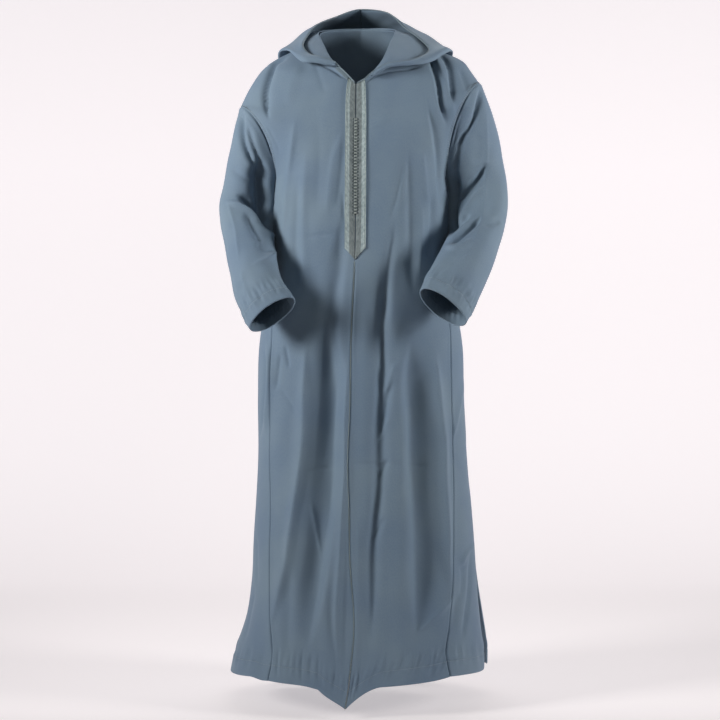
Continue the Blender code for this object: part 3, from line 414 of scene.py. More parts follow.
def neckline(side, face, u):
    """Neckline under one panel, from its centre to the shoulder seam."""
    table = NECK_RIGHT if side == "right" else NECK_LEFT
    k = NECK_SHOULDER_ROW
    part = table[:k + 1] if face == "front" else table[k:][::-1]
    run = np.concatenate([[0], np.cumsum(np.linalg.norm(np.diff(part, axis=0), axis=1))])
    return glide(run / run[-1], part, u)


def panel(side, face, u, v):
    """Panel surface with its top drawn to the neckline."""
    point = plain_panel(side, face, u, v)
    top = plain_panel(side, face, u, np.zeros_like(v))
    ease = soft_step(1 - np.asarray(v) / 0.085)[..., None]
    return point + ease * (neckline(side, face, u) - top)


def gore(side, u, v):
    """Side gore; u runs from the front seam to the side seam, and v is that of the panels."""
    u, v = np.broadcast_arrays(np.asarray(u, float), np.asarray(v, float))
    front = edge_point(side, "front", v)[..., 2]
    z = front + (edge_point(side, "back", v)[..., 2] - front) * np.sin(u * math.pi / 2)
    half = body(side, z)
    start = np.arcsin((np.minimum(seam(side, front), half) / half).clip(0, 1)**(ROUND / 2))
    angle = start + (side_seam(side, z, "gore") - start) * u
    x = sign(side) * half * np.abs(np.sin(angle))**(2 / ROUND)
    depth = np.where(np.cos(angle) > 0, -body("front", z), body("back", z))
    return np.stack([x, depth * np.abs(np.cos(angle))**(2 / ROUND), z], axis=-1)


def sleeve(side, t, turn):
    """Sleeve surface; t runs from the armhole to the cuff, turn is degrees round from outside."""
    t, turn = np.broadcast_arrays(np.asarray(t, float), np.asarray(turn, float))
    table = SLEEVE_RIGHT if side == "right" else SLEEVE_LEFT
    hole = ARMHOLE[side]
    first = (hole["top"][0], hole["top"][2], hole["low"][0], hole["low"][2], 0.0)
    rows = np.vstack([first, table[:, :5]])
    bow = (np.array(hole["front"]) - np.array(hole["back"])) / 2
    bows = np.vstack([bow] + [(0.0, -r[5], r[6]) for r in table])
    middle = np.stack([(rows[:, 0] + rows[:, 2]) / 2, rows[:, 4], (rows[:, 1] + rows[:, 3]) / 2], 1)
    run = np.concatenate([[0], np.cumsum(np.linalg.norm(np.diff(middle, axis=0), axis=1))])
    run /= run[-1]
    ring = glide(run, np.hstack([rows, bows]), t)
    outer = np.stack([ring[..., 0], ring[..., 4], ring[..., 1]], axis=-1)
    inner = np.stack([ring[..., 2], ring[..., 4], ring[..., 3]], axis=-1)
    rad = np.radians(turn)[..., None]
    point = (outer + inner) / 2 + np.cos(rad) * (outer - inner) / 2 + np.sin(rad) * ring[..., 5:8]
    # At the armhole the ring follows the panels' edge, one step off it.
    top, low = np.array(hole["top"]), np.array(hole["low"])
    off = np.cross(top - low, bow)
    off *= sign(side) * np.sign(off[0]) / np.linalg.norm(off)
    oval = (top + low) / 2 + np.cos(rad) * (top - low) / 2 + np.sin(rad) * bow
    start = armhole(side, (turn + 180) % 360 - 180) + SLEEVE_STEP * off
    return point + soft_step(1 - t / 0.10)[..., None] * (start - oval)


def hood(side, a, t):
    """Hood surface; a runs from the chest to the centre back, t from the neck seam to the rim."""
    net = HOOD_RIGHT if side == "right" else HOOD_LEFT
    a, t = np.broadcast_arrays(np.asarray(a, float), np.asarray(t, float))
    rows = np.arange(len(net) + 1) / (len(net) - 1)
    net = np.vstack([net, net[-2:-1] * (-1, 1, 1)])
    shape = a.shape
    across = np.stack([glide(rows, net[:, k], a.ravel()) for k in range(net.shape[1])], axis=1)
    out = np.empty((a.size, 3))
    for n, (line, share) in enumerate(zip(across, t.ravel())):
        out[n] = glide(HOOD_ALONG, line, share)
    # Round the back of the neck it rolls up over its seam.
    over = np.sin(math.pi * (t.ravel() / HOOD_ALONG[1]).clip(0, 1))
    out[:, 2] += HOOD_ROLL * over * soft_step((a.ravel() - 0.55) / 0.4)
    return out.reshape(shape + (3,))




# ------------------------------------------------------------------ folds
# In millimetres. Each fold runs through the points given as (x, z) seen from the front, its first end
# high up. Left and right are the widths of its two flanks as seen in that view, a minus height is a
# trough, and sharp is 2 for a soft round fold and nearer 1 for a pressed crease.
FRONT_FOLDS = (
    # points, left, right, height, sharp
    # skirt, from the right gore to the middle
    (((-120, -630), (-120, -800), (-135, -1000), (-160, -1130), (-200, -1285)), 15, 9, 14, 1.6),
    (((-35, -380), (-55, -505), (-65, -600), (-70, -770)), 16, 16, -9, 2.2),
    (((-60, -565), (-60, -780), (-65, -900), (-85, -1100), (-125, -1330)), 34, 17, -25, 2.3),
    (((-30, -660), (-35, -900), (-45, -1100), (-50, -1290), (-40, -1385)), 7, 12, 9, 1.6),
    (((-175, -675), (-185, -765)), 4, 5, -4.5, 1.4),
    (((-165, -660), (-155, -715)), 3, 3, -4.5, 1.3),
    (((-175, -755), (-135, -810)), 3, 3, -2, 1.3),
    (((-205, -640), (-200, -740), (-210, -870)), 6, 6, 6.5, 1.5),
    (((-110, -990), (-90, -1115)), 4, 4, 2.5, 1.4),
    (((-165, -1040), (-150, -1350)), 12, 10, -3, 2),
    (((-80, -930), (-75, -1200), (-65, -1405)), 16, 14, 3, 2),
    (((-35, -990), (-35, -1385)), 7, 7, -2.5, 1.8),
    # skirt, from the middle to the left gore
    (((-5, -990), (-10, -1385)), 8, 9, 3, 1.8),
    (((10, -565), (5, -820), (10, -1075)), 14, 14, 3.5, 2),
    (((50, -460), (45, -700), (35, -1000), (20, -1200), (20, -1350)), 14, 15, -14, 1.9),
    (((45, -600), (50, -735)), 3, 3, -3.5, 1.3),
    (((80, -690), (65, -725), (45, -775)), 4, 6, 4.5, 1.3),
    (((70, -730), (55, -790), (40, -870)), 4, 5, -5.5, 1.4),
    (((60, -815), (35, -875)), 4, 4, 3.5, 1.3),
    (((60, -900), (35, -950)), 4, 4, -4.5, 1.3),
    (((55, -1025), (25, -1075)), 4, 5, -3.5, 1.3),
    (((80, -630), (80, -990), (80, -1335)), 20, 18, 5, 2.1),
    (((115, -620), (110, -780), (120, -1000), (125, -1120), (125, -1315)), 17, 38, -25, 2.2),
    (((150, -640), (165, -800), (175, -900), (180, -1070), (195, -1210)), 10, 13, 17, 1.6),
    (((230, -730), (195, -875)), 6, 6, 4.5, 1.4),
    (((200, -1200), (145, -1250), (115, -1275)), 5, 6, 5, 1.4),
    (((210, -1190), (190, -1275)), 8, 8, -3.5, 1.7),
    # chest and waist
    (((10, -95), (30, -75), (60, -65), (140, -50)), 3, 6, -8, 1.5),
    (((-95, -45), (-65, -60), (-35, -85)), 3, 4, -5, 1.5),
    (((-140, -155), (-150, -240), (-165, -355), (-170, -445)), 7, 6, 3.5, 1.6),
    (((-140, -295), (-140, -550)), 9, 9, -4, 1.8),
    (((-120, -230), (-125, -350), (-120, -575)), 10, 10, 3, 1.9),
    (((-40, -200), (-60, -270), (-75, -395)), 7, 7, 2.5, 1.7),
    (((-35, -220), (-45, -310), (-55, -380)), 7, 7, -2, 1.8),
    (((-90, -155), (-95, -405)), 11, 11, -1.5, 2),
    (((-40, -325), (-35, -400)), 3, 3, -2.5, 1.4),
    (((90, -260), (80, -320), (60, -400)), 3, 5, -3, 1.3),
    (((100, -265), (80, -360)), 3, 4, 2, 1.3),
    (((105, -220), (105, -390), (110, -565)), 10, 10, -5, 1.9),
    (((75, -390), (60, -480), (50, -630)), 9, 9, -7, 1.8),
    (((130, -350), (130, -435), (125, -520)), 7, 7, 4.5, 1.8),
    (((155, -325), (155, -410), (140, -490)), 7, 7, -5, 1.7),
    (((140, -110), (160, -215), (175, -365)), 5, 7, -6, 1.6),
    (((130, -230), (145, -360)), 8, 5, 3.5, 1.6),
    (((25, -195), (45, -180), (65, -170)), 8, 8, 1.5, 1.8),
    (((-205, -180), (-175, -245)), 3, 3, -2.5, 1.3),
    (((190, -315), (170, -360)), 3, 3, -3, 1.3),
    # shoulders
    (((-145, 10), (-175, -20), (-195, -35), (-210, -90), (-210, -130), (-200, -175)), 4, 6, -15, 1.35),
    (((-130, -40), (-150, -90), (-160, -145)), 12, 12, 2, 2),
    (((-105, -35), (-75, -120)), 6, 6, -1.5, 1.8),
    (((140, 10), (155, -30), (170, -85), (175, -135), (190, -190)), 4, 6, -14.5, 1.35),
    (((150, 20), (180, -70), (210, -190)), 4, 5, 4.5, 1.5),
    (((160, 20), (195, -50), (200, -145)), 4, 5, -10, 1.4),
    (((220, -45), (235, -110)), 5, 5, -3, 1.6),
    # creases from having lain folded
    (((-130, -430), (-30, -420)), 3, 3, -2, 1.3),
    (((-125, -930), (-55, -920)), 3, 3, -2, 1.3),
    (((-205, -925), (-130, -930)), 3, 3, -1.5, 1.3),
    (((-45, -920), (30, -915), (180, -925)), 3, 3, -1.5, 1.3),
)
GORE_FOLDS = (
    # points, left, right, height, sharp
    (((-210, -660), (-210, -750), (-225, -880)), 4, 4, -6.5, 1.4),
    (((-230, -1070), (-225, -1195)), 4, 4, -3.5, 1.4),
    (((-230, -1185), (-260, -1320)), 5, 5, -6, 1.4),
    (((-250, -1140), (-275, -1345)), 6, 6, 3, 1.7),
    (((240, -1105), (235, -1200), (215, -1305)), 5, 4, -6.5, 1.4),
    (((255, -1100), (230, -1115), (215, -1145)), 5, 5, 4.5, 1.4),
    (((215, -1125), (220, -1165), (215, -1210)), 5, 5, -3.5, 1.5),
    (((235, -850), (240, -1005)), 4, 4, -2.5, 1.5),
)
BACK_FOLDS = (
    # points, left, right, height, sharp
    (((-175, -330), (-170, -620), (-180, -1000), (-205, -1410)), 20, 18, 8, 1.8),
    (((-130, -300), (-140, -640), (-145, -1020), (-160, -1410)), 24, 20, -10, 1.9),
    (((-85, -380), (-95, -700), (-105, -1060), (-110, -1410)), 18, 22, 9, 1.8),
    (((-45, -420), (-50, -740), (-60, -1060), (-65, -1410)), 18, 18, -8, 1.9),
    (((-10, -380), (-5, -700), (-10, -1040), (-15, -1410)), 20, 16, 7.5, 1.8),
    (((35, -440), (40, -700), (40, -1040), (45, -1410)), 18, 20, -9.5, 1.9),
    (((75, -360), (85, -680), (90, -1040), (95, -1410)), 20, 18, 8.5, 1.8),
    (((120, -330), (130, -680), (140, -1020), (150, -1410)), 22, 22, -11, 1.9),
    (((160, -320), (170, -660), (185, -1040), (205, -1410)), 18, 16, 8, 1.8),
    (((-60, -860), (-20, -870), (30, -870), (80, -860)), 4, 4, -1, 1.4),
    (((-170, -120), (-150, -220), (-120, -330)), 10, 12, 4.5, 1.7),
    (((175, -110), (155, -220), (130, -340)), 12, 10, 4.5, 1.7),
    (((-185, -200), (-140, -260), (-80, -290)), 10, 10, -3.5, 1.7),
    (((190, -180), (145, -250), (85, -300)), 10, 10, -3.5, 1.7),
)
# Folds on the front of the sleeves, and on their backs.
SLEEVE_FRONT_FOLDS = (
    # points, left, right, height, sharp
    # right sleeve
    (((-255, -115), (-265, -150), (-260, -215), (-225, -280)), 6, 7, -13, 1.5),
    (((-255, -165), (-230, -235), (-200, -305)), 5, 5, -8, 1.4),
    (((-220, -245), (-220, -310), (-210, -355), (-180, -425)), 18, 14, -32, 2),
    (((-275, -330), (-245, -350), (-215, -375), (-185, -425)), 8, 10, -22, 1.6),
    (((-305, -345), (-265, -355), (-230, -380), (-175, -440)), 7, 6, 9, 1.5),
    (((-255, -370), (-210, -450)), 8, 7, -8, 1.6),
    (((-295, -335), (-270, -420), (-260, -490)), 3, 3, 2.5, 1.2),
    (((-290, -270), (-240, -305)), 8, 8, -3.5, 1.8),
    (((-225, -440), (-210, -460), (-185, -460)), 7, 7, -5, 1.6),
    (((-235, -495), (-200, -480), (-175, -445)), 6, 6, 4.5, 1.5),
    (((-265, -530), (-230, -540), (-190, -535)), 10, 10, -2.5, 1.9),
    (((-255, -500), (-240, -570)), 4, 4, 2, 1.4),
    # left sleeve
    (((260, -75), (260, -110), (245, -170), (205, -235)), 5, 6, -13, 1.5),
    (((225, -125), (200, -230)), 4, 4, -8, 1.4),
    (((210, -270), (195, -355), (190, -430)), 9, 13, -26, 1.9),
    (((225, -185), (205, -290)), 5, 6, -8, 1.6),
    (((280, -260), (255, -300), (200, -350)), 8, 7, -17, 1.6),
    (((255, -190), (260, -230), (250, -270)), 12, 9, -4, 1.9),
    (((270, -310), (245, -340), (205, -400)), 6, 7, 7, 1.5),
    (((265, -380), (215, -425), (185, -450)), 5, 6, -12, 1.5),
    (((235, -390), (185, -440)), 3, 3, 4.5, 1.3),
    (((240, -375), (185, -415)), 5, 5, -7, 1.5),
    (((275, -120), (275, -265), (265, -380), (220, -485), (205, -540)), 3, 3, 2.5, 1.2),
    (((240, -435), (205, -455), (175, -450)), 6, 6, 6.5, 1.5),
    (((305, -390), (260, -405)), 8, 8, -4, 1.8),
    (((190, -485), (240, -460)), 5, 5, -3, 1.6),
    (((145, -530), (185, -535), (225, -530)), 10, 10, -2.5, 1.9),
)
SLEEVE_BACK_FOLDS = (
    # points, left, right, height, sharp
    (((-260, -150), (-245, -230), (-220, -310)), 8, 8, -6, 1.6),
    (((-290, -220), (-280, -290), (-250, -350)), 12, 12, 5, 1.7),
    (((-300, -350), (-260, -370), (-215, -380)), 10, 10, 5.5, 1.6),
    (((-305, -390), (-260, -410), (-215, -415)), 8, 8, -5, 1.6),
    (((-285, -460), (-245, -470), (-205, -460)), 9, 9, 4, 1.7),
    (((260, -120), (250, -210), (225, -300)), 8, 8, -6, 1.6),
    (((300, -200), (285, -280), (255, -340)), 12, 12, 5, 1.7),
    (((315, -330), (270, -360), (215, -365)), 10, 10, 5.5, 1.6),
    (((315, -370), (270, -400), (215, -405)), 8, 8, -5, 1.6),
    (((285, -440), (245, -455), (200, -450)), 9, 9, 4, 1.7),
)


def wander(x, z):
    """Slow uneven drift of hand-hung cloth, from -1 to 1."""
    return (np.sin(41 * x + 13 * z + 0.7) + np.sin(23 * z - 29 * x + 2.1)
            + np.sin(67 * x - 31 * z + 4.0)) / 3


def fold_rise(x, z, folds):
    """How far the folds stand out at points seen from the front or the back."""
    rise = np.zeros(x.shape)
    drift = 0.004 * wander(x, z)
    for points, left, right, height, sharp in folds:
        points = np.array(points) / 1000
        left, right, height = left / 1000, right / 1000, height / 1000
        reach = 4 * max(left, right)
        low, high = points.min(0) - reach, points.max(0) + reach
        near = (x > low[0]) & (x < high[0]) & (z > low[1]) & (z < high[1])
        if not near.any():
            continue
        line = glide(np.arange(len(points)), points, np.linspace(0, len(points) - 1, 7 * len(points)))
        start, step = line[:-1], np.diff(line, axis=0)
        run = np.hypot(*step.T)
        px = x[near][:, None] - start[:, 0]
        pz = z[near][:, None] - start[:, 1]
        share = ((px * step[:, 0] + pz * step[:, 1]) / run**2).clip(0, 1)
        away = np.hypot(px - share * step[:, 0], pz - share * step[:, 1])
        best = away.argmin(1)
        rows = np.arange(len(best))
        side = np.sign(px[rows, best] * -step[best, 1] + pz[rows, best] * step[best, 0])
        along = (np.concatenate([[0], np.cumsum(run)])[best] + share[rows, best] * run[best]) / run.sum()
        off = away[rows, best] * side + drift[near] * min(1.0, max(left, right) / 0.016)
        ends = soft_step(along / 0.25) * soft_step((1 - along) / 0.25)
        flank = np.where(off < 0, left, right) * (0.6 + 0.4 * ends)
        rise[near] += height * ends * np.exp(-np.abs(off / flank)**sharp)
    return rise


def normals(grid, closed=False):
    """Unit normals of a grid of points, all on the side that faces away from the robe's middle."""
    if closed:
        du = np.roll(grid, -1, axis=0) - np.roll(grid, 1, axis=0)
    else:
        du = np.gradient(grid, axis=0)
    n = np.cross(du, np.gradient(grid, axis=1))
    n /= np.linalg.norm(n, axis=-1, keepdims=True).clip(1e-12)
    middle = grid.mean(axis=0, keepdims=True) if closed else np.zeros(3)
    away = (grid - middle) * (1.0, 1.0, 1.0 if closed else 0.0)
    return n * np.sign(np.median((n * away).sum(-1)))


def lengths(grid, axis):
    """Distance run along the rows or columns of a grid, from its first point."""
    step = np.linalg.norm(np.diff(grid, axis=axis), axis=-1)
    zero = np.zeros_like(np.take(step, [0], axis=axis))
    return np.concatenate([zero, np.cumsum(step, axis=axis)], axis=axis)


def by_distance(line, at):
    """Points of a line at the given distances along it."""
    run = lengths(line, 0)
    return np.stack([np.interp(at, run, line[:, k]) for k in range(3)], axis=-1)


def settle(name):
    return getattr(bpy.context.scene, name)


# ------------------------------------------------------------------ meshes
def enter(piece, slot, *nodes):
    """Rides a finished piece on the one body, with its slot and the nodes it stands for."""
    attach(piece, "root")
    if nodes:
        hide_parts(*nodes)


def link(name, mesh, mat):
    mesh.materials.clear()
    mesh.materials.append(mat)
    obj = bpy.data.objects.new(name, mesh)
    bpy.context.scene.collection.objects.link(obj)
    return obj


def cloth_shell(name, outer, thick, mat, closed=False, out=None):
    """Cloth as a thin closed shell, with a UV map in metres along its width and length."""
    nu, nv = outer.shape[:2]
    out = normals(outer, closed) if out is None else out
    inner = outer - out * (thick[..., None] if np.ndim(thick) else thick)
    grid = np.concatenate([outer[None], inner[None]])
    index = np.arange(2 * nu * nv).reshape(2, nu, nv)
    wide = lengths(np.concatenate([outer, outer[:1]]) if closed else outer, 0)
    wide = wide[:, nv // 2:nv // 2 + 1] * np.ones((1, nv)) if closed else wide - wide[-1:] / 2
    long = lengths(outer, 1)
    faces, corners = [], []

    def quads(a, b, c, d, ua, ub, uc, ud):
        faces.append(np.stack([a, b, c, d], axis=-1).reshape(-1, 4))
        corners.append(np.stack([ua, ub, uc, ud], axis=-2).reshape(-1, 4, 2))

    last = nu if closed else nu - 1
    i = np.arange(last)
    k = (i + 1) % nu
    place = np.stack([wide, np.concatenate([long, long[:1]]) if closed else long], axis=-1)
    for layer in (0, 1):
        a, b = index[layer][i, :-1], index[layer][k, :-1]
        c, d = index[layer][k, 1:], index[layer][i, 1:]
        ua, ub = place[i, :-1], place[i + 1, :-1]
        uc, ud = place[i + 1, 1:], place[i, 1:]
        if layer == 0:
            quads(a, b, c, d, ua, ub, uc, ud)
        else:
            quads(d, c, b, a, ud, uc, ub, ua)
    for j, turn in ((0, 1), (nv - 1, 0)):
        o, n = index[0][:, j], index[1][:, j]
        u0, u1 = place[i, j], place[i + 1, j]
        if turn:
            quads(o[k], o[i], n[i], n[k], u1, u0, u0, u1)
        else:
            quads(o[i], o[k], n[k], n[i], u0, u1, u1, u0)
    if not closed:
        for m, turn in ((0, 0), (nu - 1, 1)):
            o, n = index[0][m], index[1][m]
            u0, u1 = place[m, :-1], place[m, 1:]
            if turn:
                quads(o[1:], o[:-1], n[:-1], n[1:], u1, u0, u0, u1)
            else:
                quads(o[:-1], o[1:], n[1:], n[:-1], u0, u1, u1, u0)
    faces, corners = np.concatenate(faces), np.concatenate(corners)
    # The faces of the outer layer turn with the grid; they must look outwards.
    a, b, c = (grid.reshape(-1, 3)[faces[:, m]] for m in (0, 1, 2))
    first = slice(0, last * (nv - 1))
    facing = (np.cross(b - a, c - a)[first] * out[i, :-1].reshape(-1, 3)).sum()
    if facing < 0:
        faces, corners = faces[:, ::-1], corners[:, ::-1]
    mesh = bpy.data.meshes.new(name)
    mesh.from_pydata(grid.reshape(-1, 3).tolist(), [], faces.tolist())
    uv = mesh.uv_layers.new(name="cloth")
    uv.data.foreach_set("uv", corners.reshape(-1).astype(np.float32))
    mesh.shade_smooth()
    return link(name, mesh, mat)


def tube(name, path, radius, mat, sides=10, twist=0.0, strands=2):
    """A cord along a path. With a twist length it bulges like laid strands."""
    tangent = np.gradient(path, axis=0)
    tangent /= np.linalg.norm(tangent, axis=1, keepdims=True)
    across = np.cross(tangent, (0.0, -0.6, 0.8))
    for i in range(1, len(path)):
        across[i] = across[i - 1] - tangent[i] * (across[i - 1] @ tangent[i])
    across /= np.linalg.norm(across, axis=1, keepdims=True)
    other = np.cross(tangent, across)
    run = lengths(path, 0)
    turn = np.arange(sides) * 2 * math.pi / sides
    size = radius * np.ones((len(path), sides))
    if twist:
        size *= 0.90 + 0.10 * np.cos(strands * (turn[None, :] - 2 * math.pi * run[:, None] / twist))
    points = (path[:, None] + size[..., None] * (np.cos(turn)[None, :, None] * across[:, None]
                                                 + np.sin(turn)[None, :, None] * other[:, None]))
    rows = len(path)
    faces = [(i * sides + k, i * sides + (k + 1) % sides, (i + 1) * sides + (k + 1) % sides,
              (i + 1) * sides + k) for i in range(rows - 1) for k in range(sides)]
    faces += [tuple(range(sides))[::-1], tuple((rows - 1) * sides + k for k in range(sides))]
    mesh = bpy.data.meshes.new(name)
    mesh.from_pydata(points.reshape(-1, 3).tolist(), [], faces)
    uv = mesh.uv_layers.new(name="cloth")
    place = np.stack([np.broadcast_to(np.arange(sides) * radius * 2 * math.pi / sides, (rows, sides)),
                      np.broadcast_to(run[:, None], (rows, sides))], axis=-1).reshape(-1, 2)
    loops = np.empty(len(mesh.loops), int)
    mesh.loops.foreach_get("vertex_index", loops)
    uv.data.foreach_set("uv", place[loops].reshape(-1).astype(np.float32))
    mesh.shade_smooth()
    return link(name, mesh, mat)


def repeat_tree():
    """Geometry Nodes: copies of a stamp along lines, turned along them, as real geometry."""
    tree = bpy.data.node_groups.new("copies along lines", "GeometryNodeTree")
    face = tree.interface
    face.new_socket("Lines", in_out="INPUT", socket_type="NodeSocketGeometry")
    face.new_socket("Spacing", in_out="INPUT", socket_type="NodeSocketFloat")
    face.new_socket("Stamp", in_out="INPUT", socket_type="NodeSocketObject")
    face.new_socket("Facing", in_out="INPUT", socket_type="NodeSocketVector")
    face.new_socket("Finish", in_out="INPUT", socket_type="NodeSocketMaterial")
    face.new_socket("Copies", in_out="OUTPUT", socket_type="NodeSocketGeometry")
    put = tree.nodes.new
    start, end = put("NodeGroupInput"), put("NodeGroupOutput")
    curve, spread = put("GeometryNodeMeshToCurve"), put("GeometryNodeResampleCurve")
    spread.mode = "LENGTH"
    stamp, place = put("GeometryNodeObjectInfo"), put("GeometryNodeInstanceOnPoints")
    tangent = put("GeometryNodeInputTangent")
    turn, roll = put("FunctionNodeAlignRotationToVector"), put("FunctionNodeAlignRotationToVector")
    turn.axis, roll.axis, roll.pivot_axis = "Z", "Y", "Z"
    real, finish = put("GeometryNodeRealizeInstances"), put("GeometryNodeSetMaterial")
    for out, into in ((start.outputs["Lines"], curve.inputs[0]), (curve.outputs[0], spread.inputs["Curve"]),
                      (start.outputs["Spacing"], spread.inputs["Length"]),
                      (spread.outputs[0], place.inputs["Points"]),
                      (start.outputs["Stamp"], stamp.inputs["Object"]),
                      (stamp.outputs["Geometry"], place.inputs["Instance"]),
                      (tangent.outputs[0], turn.inputs["Vector"]),
                      (turn.outputs[0], roll.inputs["Rotation"]),
                      (start.outputs["Facing"], roll.inputs["Vector"]),
                      (roll.outputs[0], place.inputs["Rotation"]),
                      (place.outputs[0], real.inputs[0]), (real.outputs[0], finish.inputs["Geometry"]),
                      (start.outputs["Finish"], finish.inputs["Material"]),
                      (finish.outputs[0], end.inputs["Copies"])):
        tree.links.new(out, into)
    return tree


def repeat_along(name, lines, spacing, stamp, mat, facing=(0.0, -1.0, 0.0)):
    """Copies of the stamp's mesh along lines of points, as one plain mesh."""
    points = np.concatenate(lines)
    edges, first = [], 0
    for line in lines:
        edges += [(first + i, first + i + 1) for i in range(len(line) - 1)]
        first += len(line)
    mesh = bpy.data.meshes.new(name + " lines")
    mesh.from_pydata(points.tolist(), edges, [])
    holder = bpy.data.objects.new(name + " lines", mesh)
    bpy.context.scene.collection.objects.link(holder)
    tree = bpy.data.node_groups.get("copies along lines") or repeat_tree()
    mod = holder.modifiers.new("copies", "NODES")
    mod.node_group = tree
    values = {"Spacing": spacing, "Stamp": stamp, "Facing": facing, "Finish": mat}
    for socket in tree.interface.items_tree:
        if socket.in_out == "INPUT" and socket.name in values:
            mod[socket.identifier] = values[socket.name]
    holder.update_tag()
    graph = bpy.context.evaluated_depsgraph_get()
    done = bpy.data.meshes.new_from_object(holder.evaluated_get(graph))
    bpy.data.objects.remove(holder, do_unlink=True)
    bpy.data.objects.remove(stamp, do_unlink=True)
    done.shade_smooth()
    return link(name, done, mat)


def stitch_stamp(length, width):
    """One stitch of thread, lying along Z."""
    mesh = bpy.data.meshes.new("stitch")
    rows = ((-0.5, 0.35), (-0.28, 1.0), (0.28, 1.0), (0.5, 0.35))
    turn = np.arange(5) * 2 * math.pi / 5
    points = [(r * width / 2 * math.cos(t), r * width / 2 * math.sin(t), z * length)
              for z, r in rows for t in turn]
    faces = [(i * 5 + k, i * 5 + (k + 1) % 5, (i + 1) * 5 + (k + 1) % 5, (i + 1) * 5 + k)
             for i in range(3) for k in range(5)] + [(4, 3, 2, 1, 0), (15, 16, 17, 18, 19)]
    mesh.from_pydata(points, [], faces)
    return link("stitch stamp", mesh, material_named("polyester sewing thread"))


# ------------------------------------------------------------------ materials
def linear(code):
    """An sRGB hex colour as linear RGBA."""
    rgb = [int(code[k:k + 2], 16) / 255 for k in (0, 2, 4)]
    return [c / 12.92 if c <= 0.04045 else ((c + 0.055) / 1.055)**2.4 for c in rgb] + [1.0]


def add(mat, kind, inputs=(), **settings):
    """Adds one node with its settings, and sets or links its inputs."""
    node = mat.node_tree.nodes.new(kind)
    for key, value in settings.items():
        setattr(node, key, value)
    for key, value in dict(inputs).items():
        if isinstance(value, bpy.types.NodeSocket):
            mat.node_tree.links.new(value, node.inputs[key])
        else:
            node.inputs[key].default_value = value
    return node


def material_named(name):
    mat = bpy.data.materials.get(name)
    if mat is None:
        mat = bpy.data.materials.new(name)
        mat.use_nodes = True
    return mat


def wool_twill():
    """Wool-blend twill: smooth and matt, with a faint slanting line and a soft bloom at the edges."""
    if "wool-blend twill" in bpy.data.materials:
        return bpy.data.materials["wool-blend twill"]
    mat = material_named("wool-blend twill")
    look = settle("djellaba_cloth")
    shader = mat.node_tree.nodes["Principled BSDF"]
    place = add(mat, "ShaderNodeTexCoord")
    # The true twill line is 0.6 mm; 1.8 mm is the finest that shows.
    slant = add(mat, "ShaderNodeMapping", {"Vector": place.outputs["UV"], "Scale": (1 / 0.0018,) * 3,
                                           "Rotation": (0, 0, math.radians(62))})
    twill = add(mat, "ShaderNodeTexWave", {"Vector": slant.outputs[0], "Scale": 0.31, "Distortion": 1.2,
                                           "Detail": 2.0, "Detail Scale": 1.5})
    fibre = add(mat, "ShaderNodeTexNoise", {"Vector": place.outputs["UV"], "Scale": 420.0, "Detail": 4.0})
    # Dye and finish vary slowly over hand-sized areas.
    patch = add(mat, "ShaderNodeTexNoise", {"Vector": place.outputs["Object"], "Scale": 9.0, "Detail": 3.0})
    tone = add(mat, "ShaderNodeMath", {0: fibre.outputs["Fac"], 1: patch.outputs["Fac"]}, operation="ADD")
    spread = add(mat, "ShaderNodeMapRange", {"Value": tone.outputs[0], "From Min": 0.75, "From Max": 1.25})
    colour = add(mat, "ShaderNodeMix", {"Factor": spread.outputs[0], "A": linear(look.dark),
                                        "B": linear(look.light)}, data_type="RGBA")
    mat.node_tree.links.new(colour.outputs["Result"], shader.inputs["Base Color"])
    height = add(mat, "ShaderNodeMath", {0: twill.outputs["Fac"], 1: fibre.outputs["Fac"]}, operation="ADD")
    bump = add(mat, "ShaderNodeBump", {"Height": height.outputs[0], "Distance": 0.00018, "Strength": 0.45})
    mat.node_tree.links.new(bump.outputs[0], shader.inputs["Normal"])
    shader.inputs["Roughness"].default_value = 0.78
    shader.inputs["Specular IOR Level"].default_value = 0.32
    shader.inputs["Sheen Weight"].default_value = 0.22
    shader.inputs["Sheen Roughness"].default_value = 0.45
    shader.inputs["Sheen Tint"].default_value = linear("b8c6d6")
    return mat


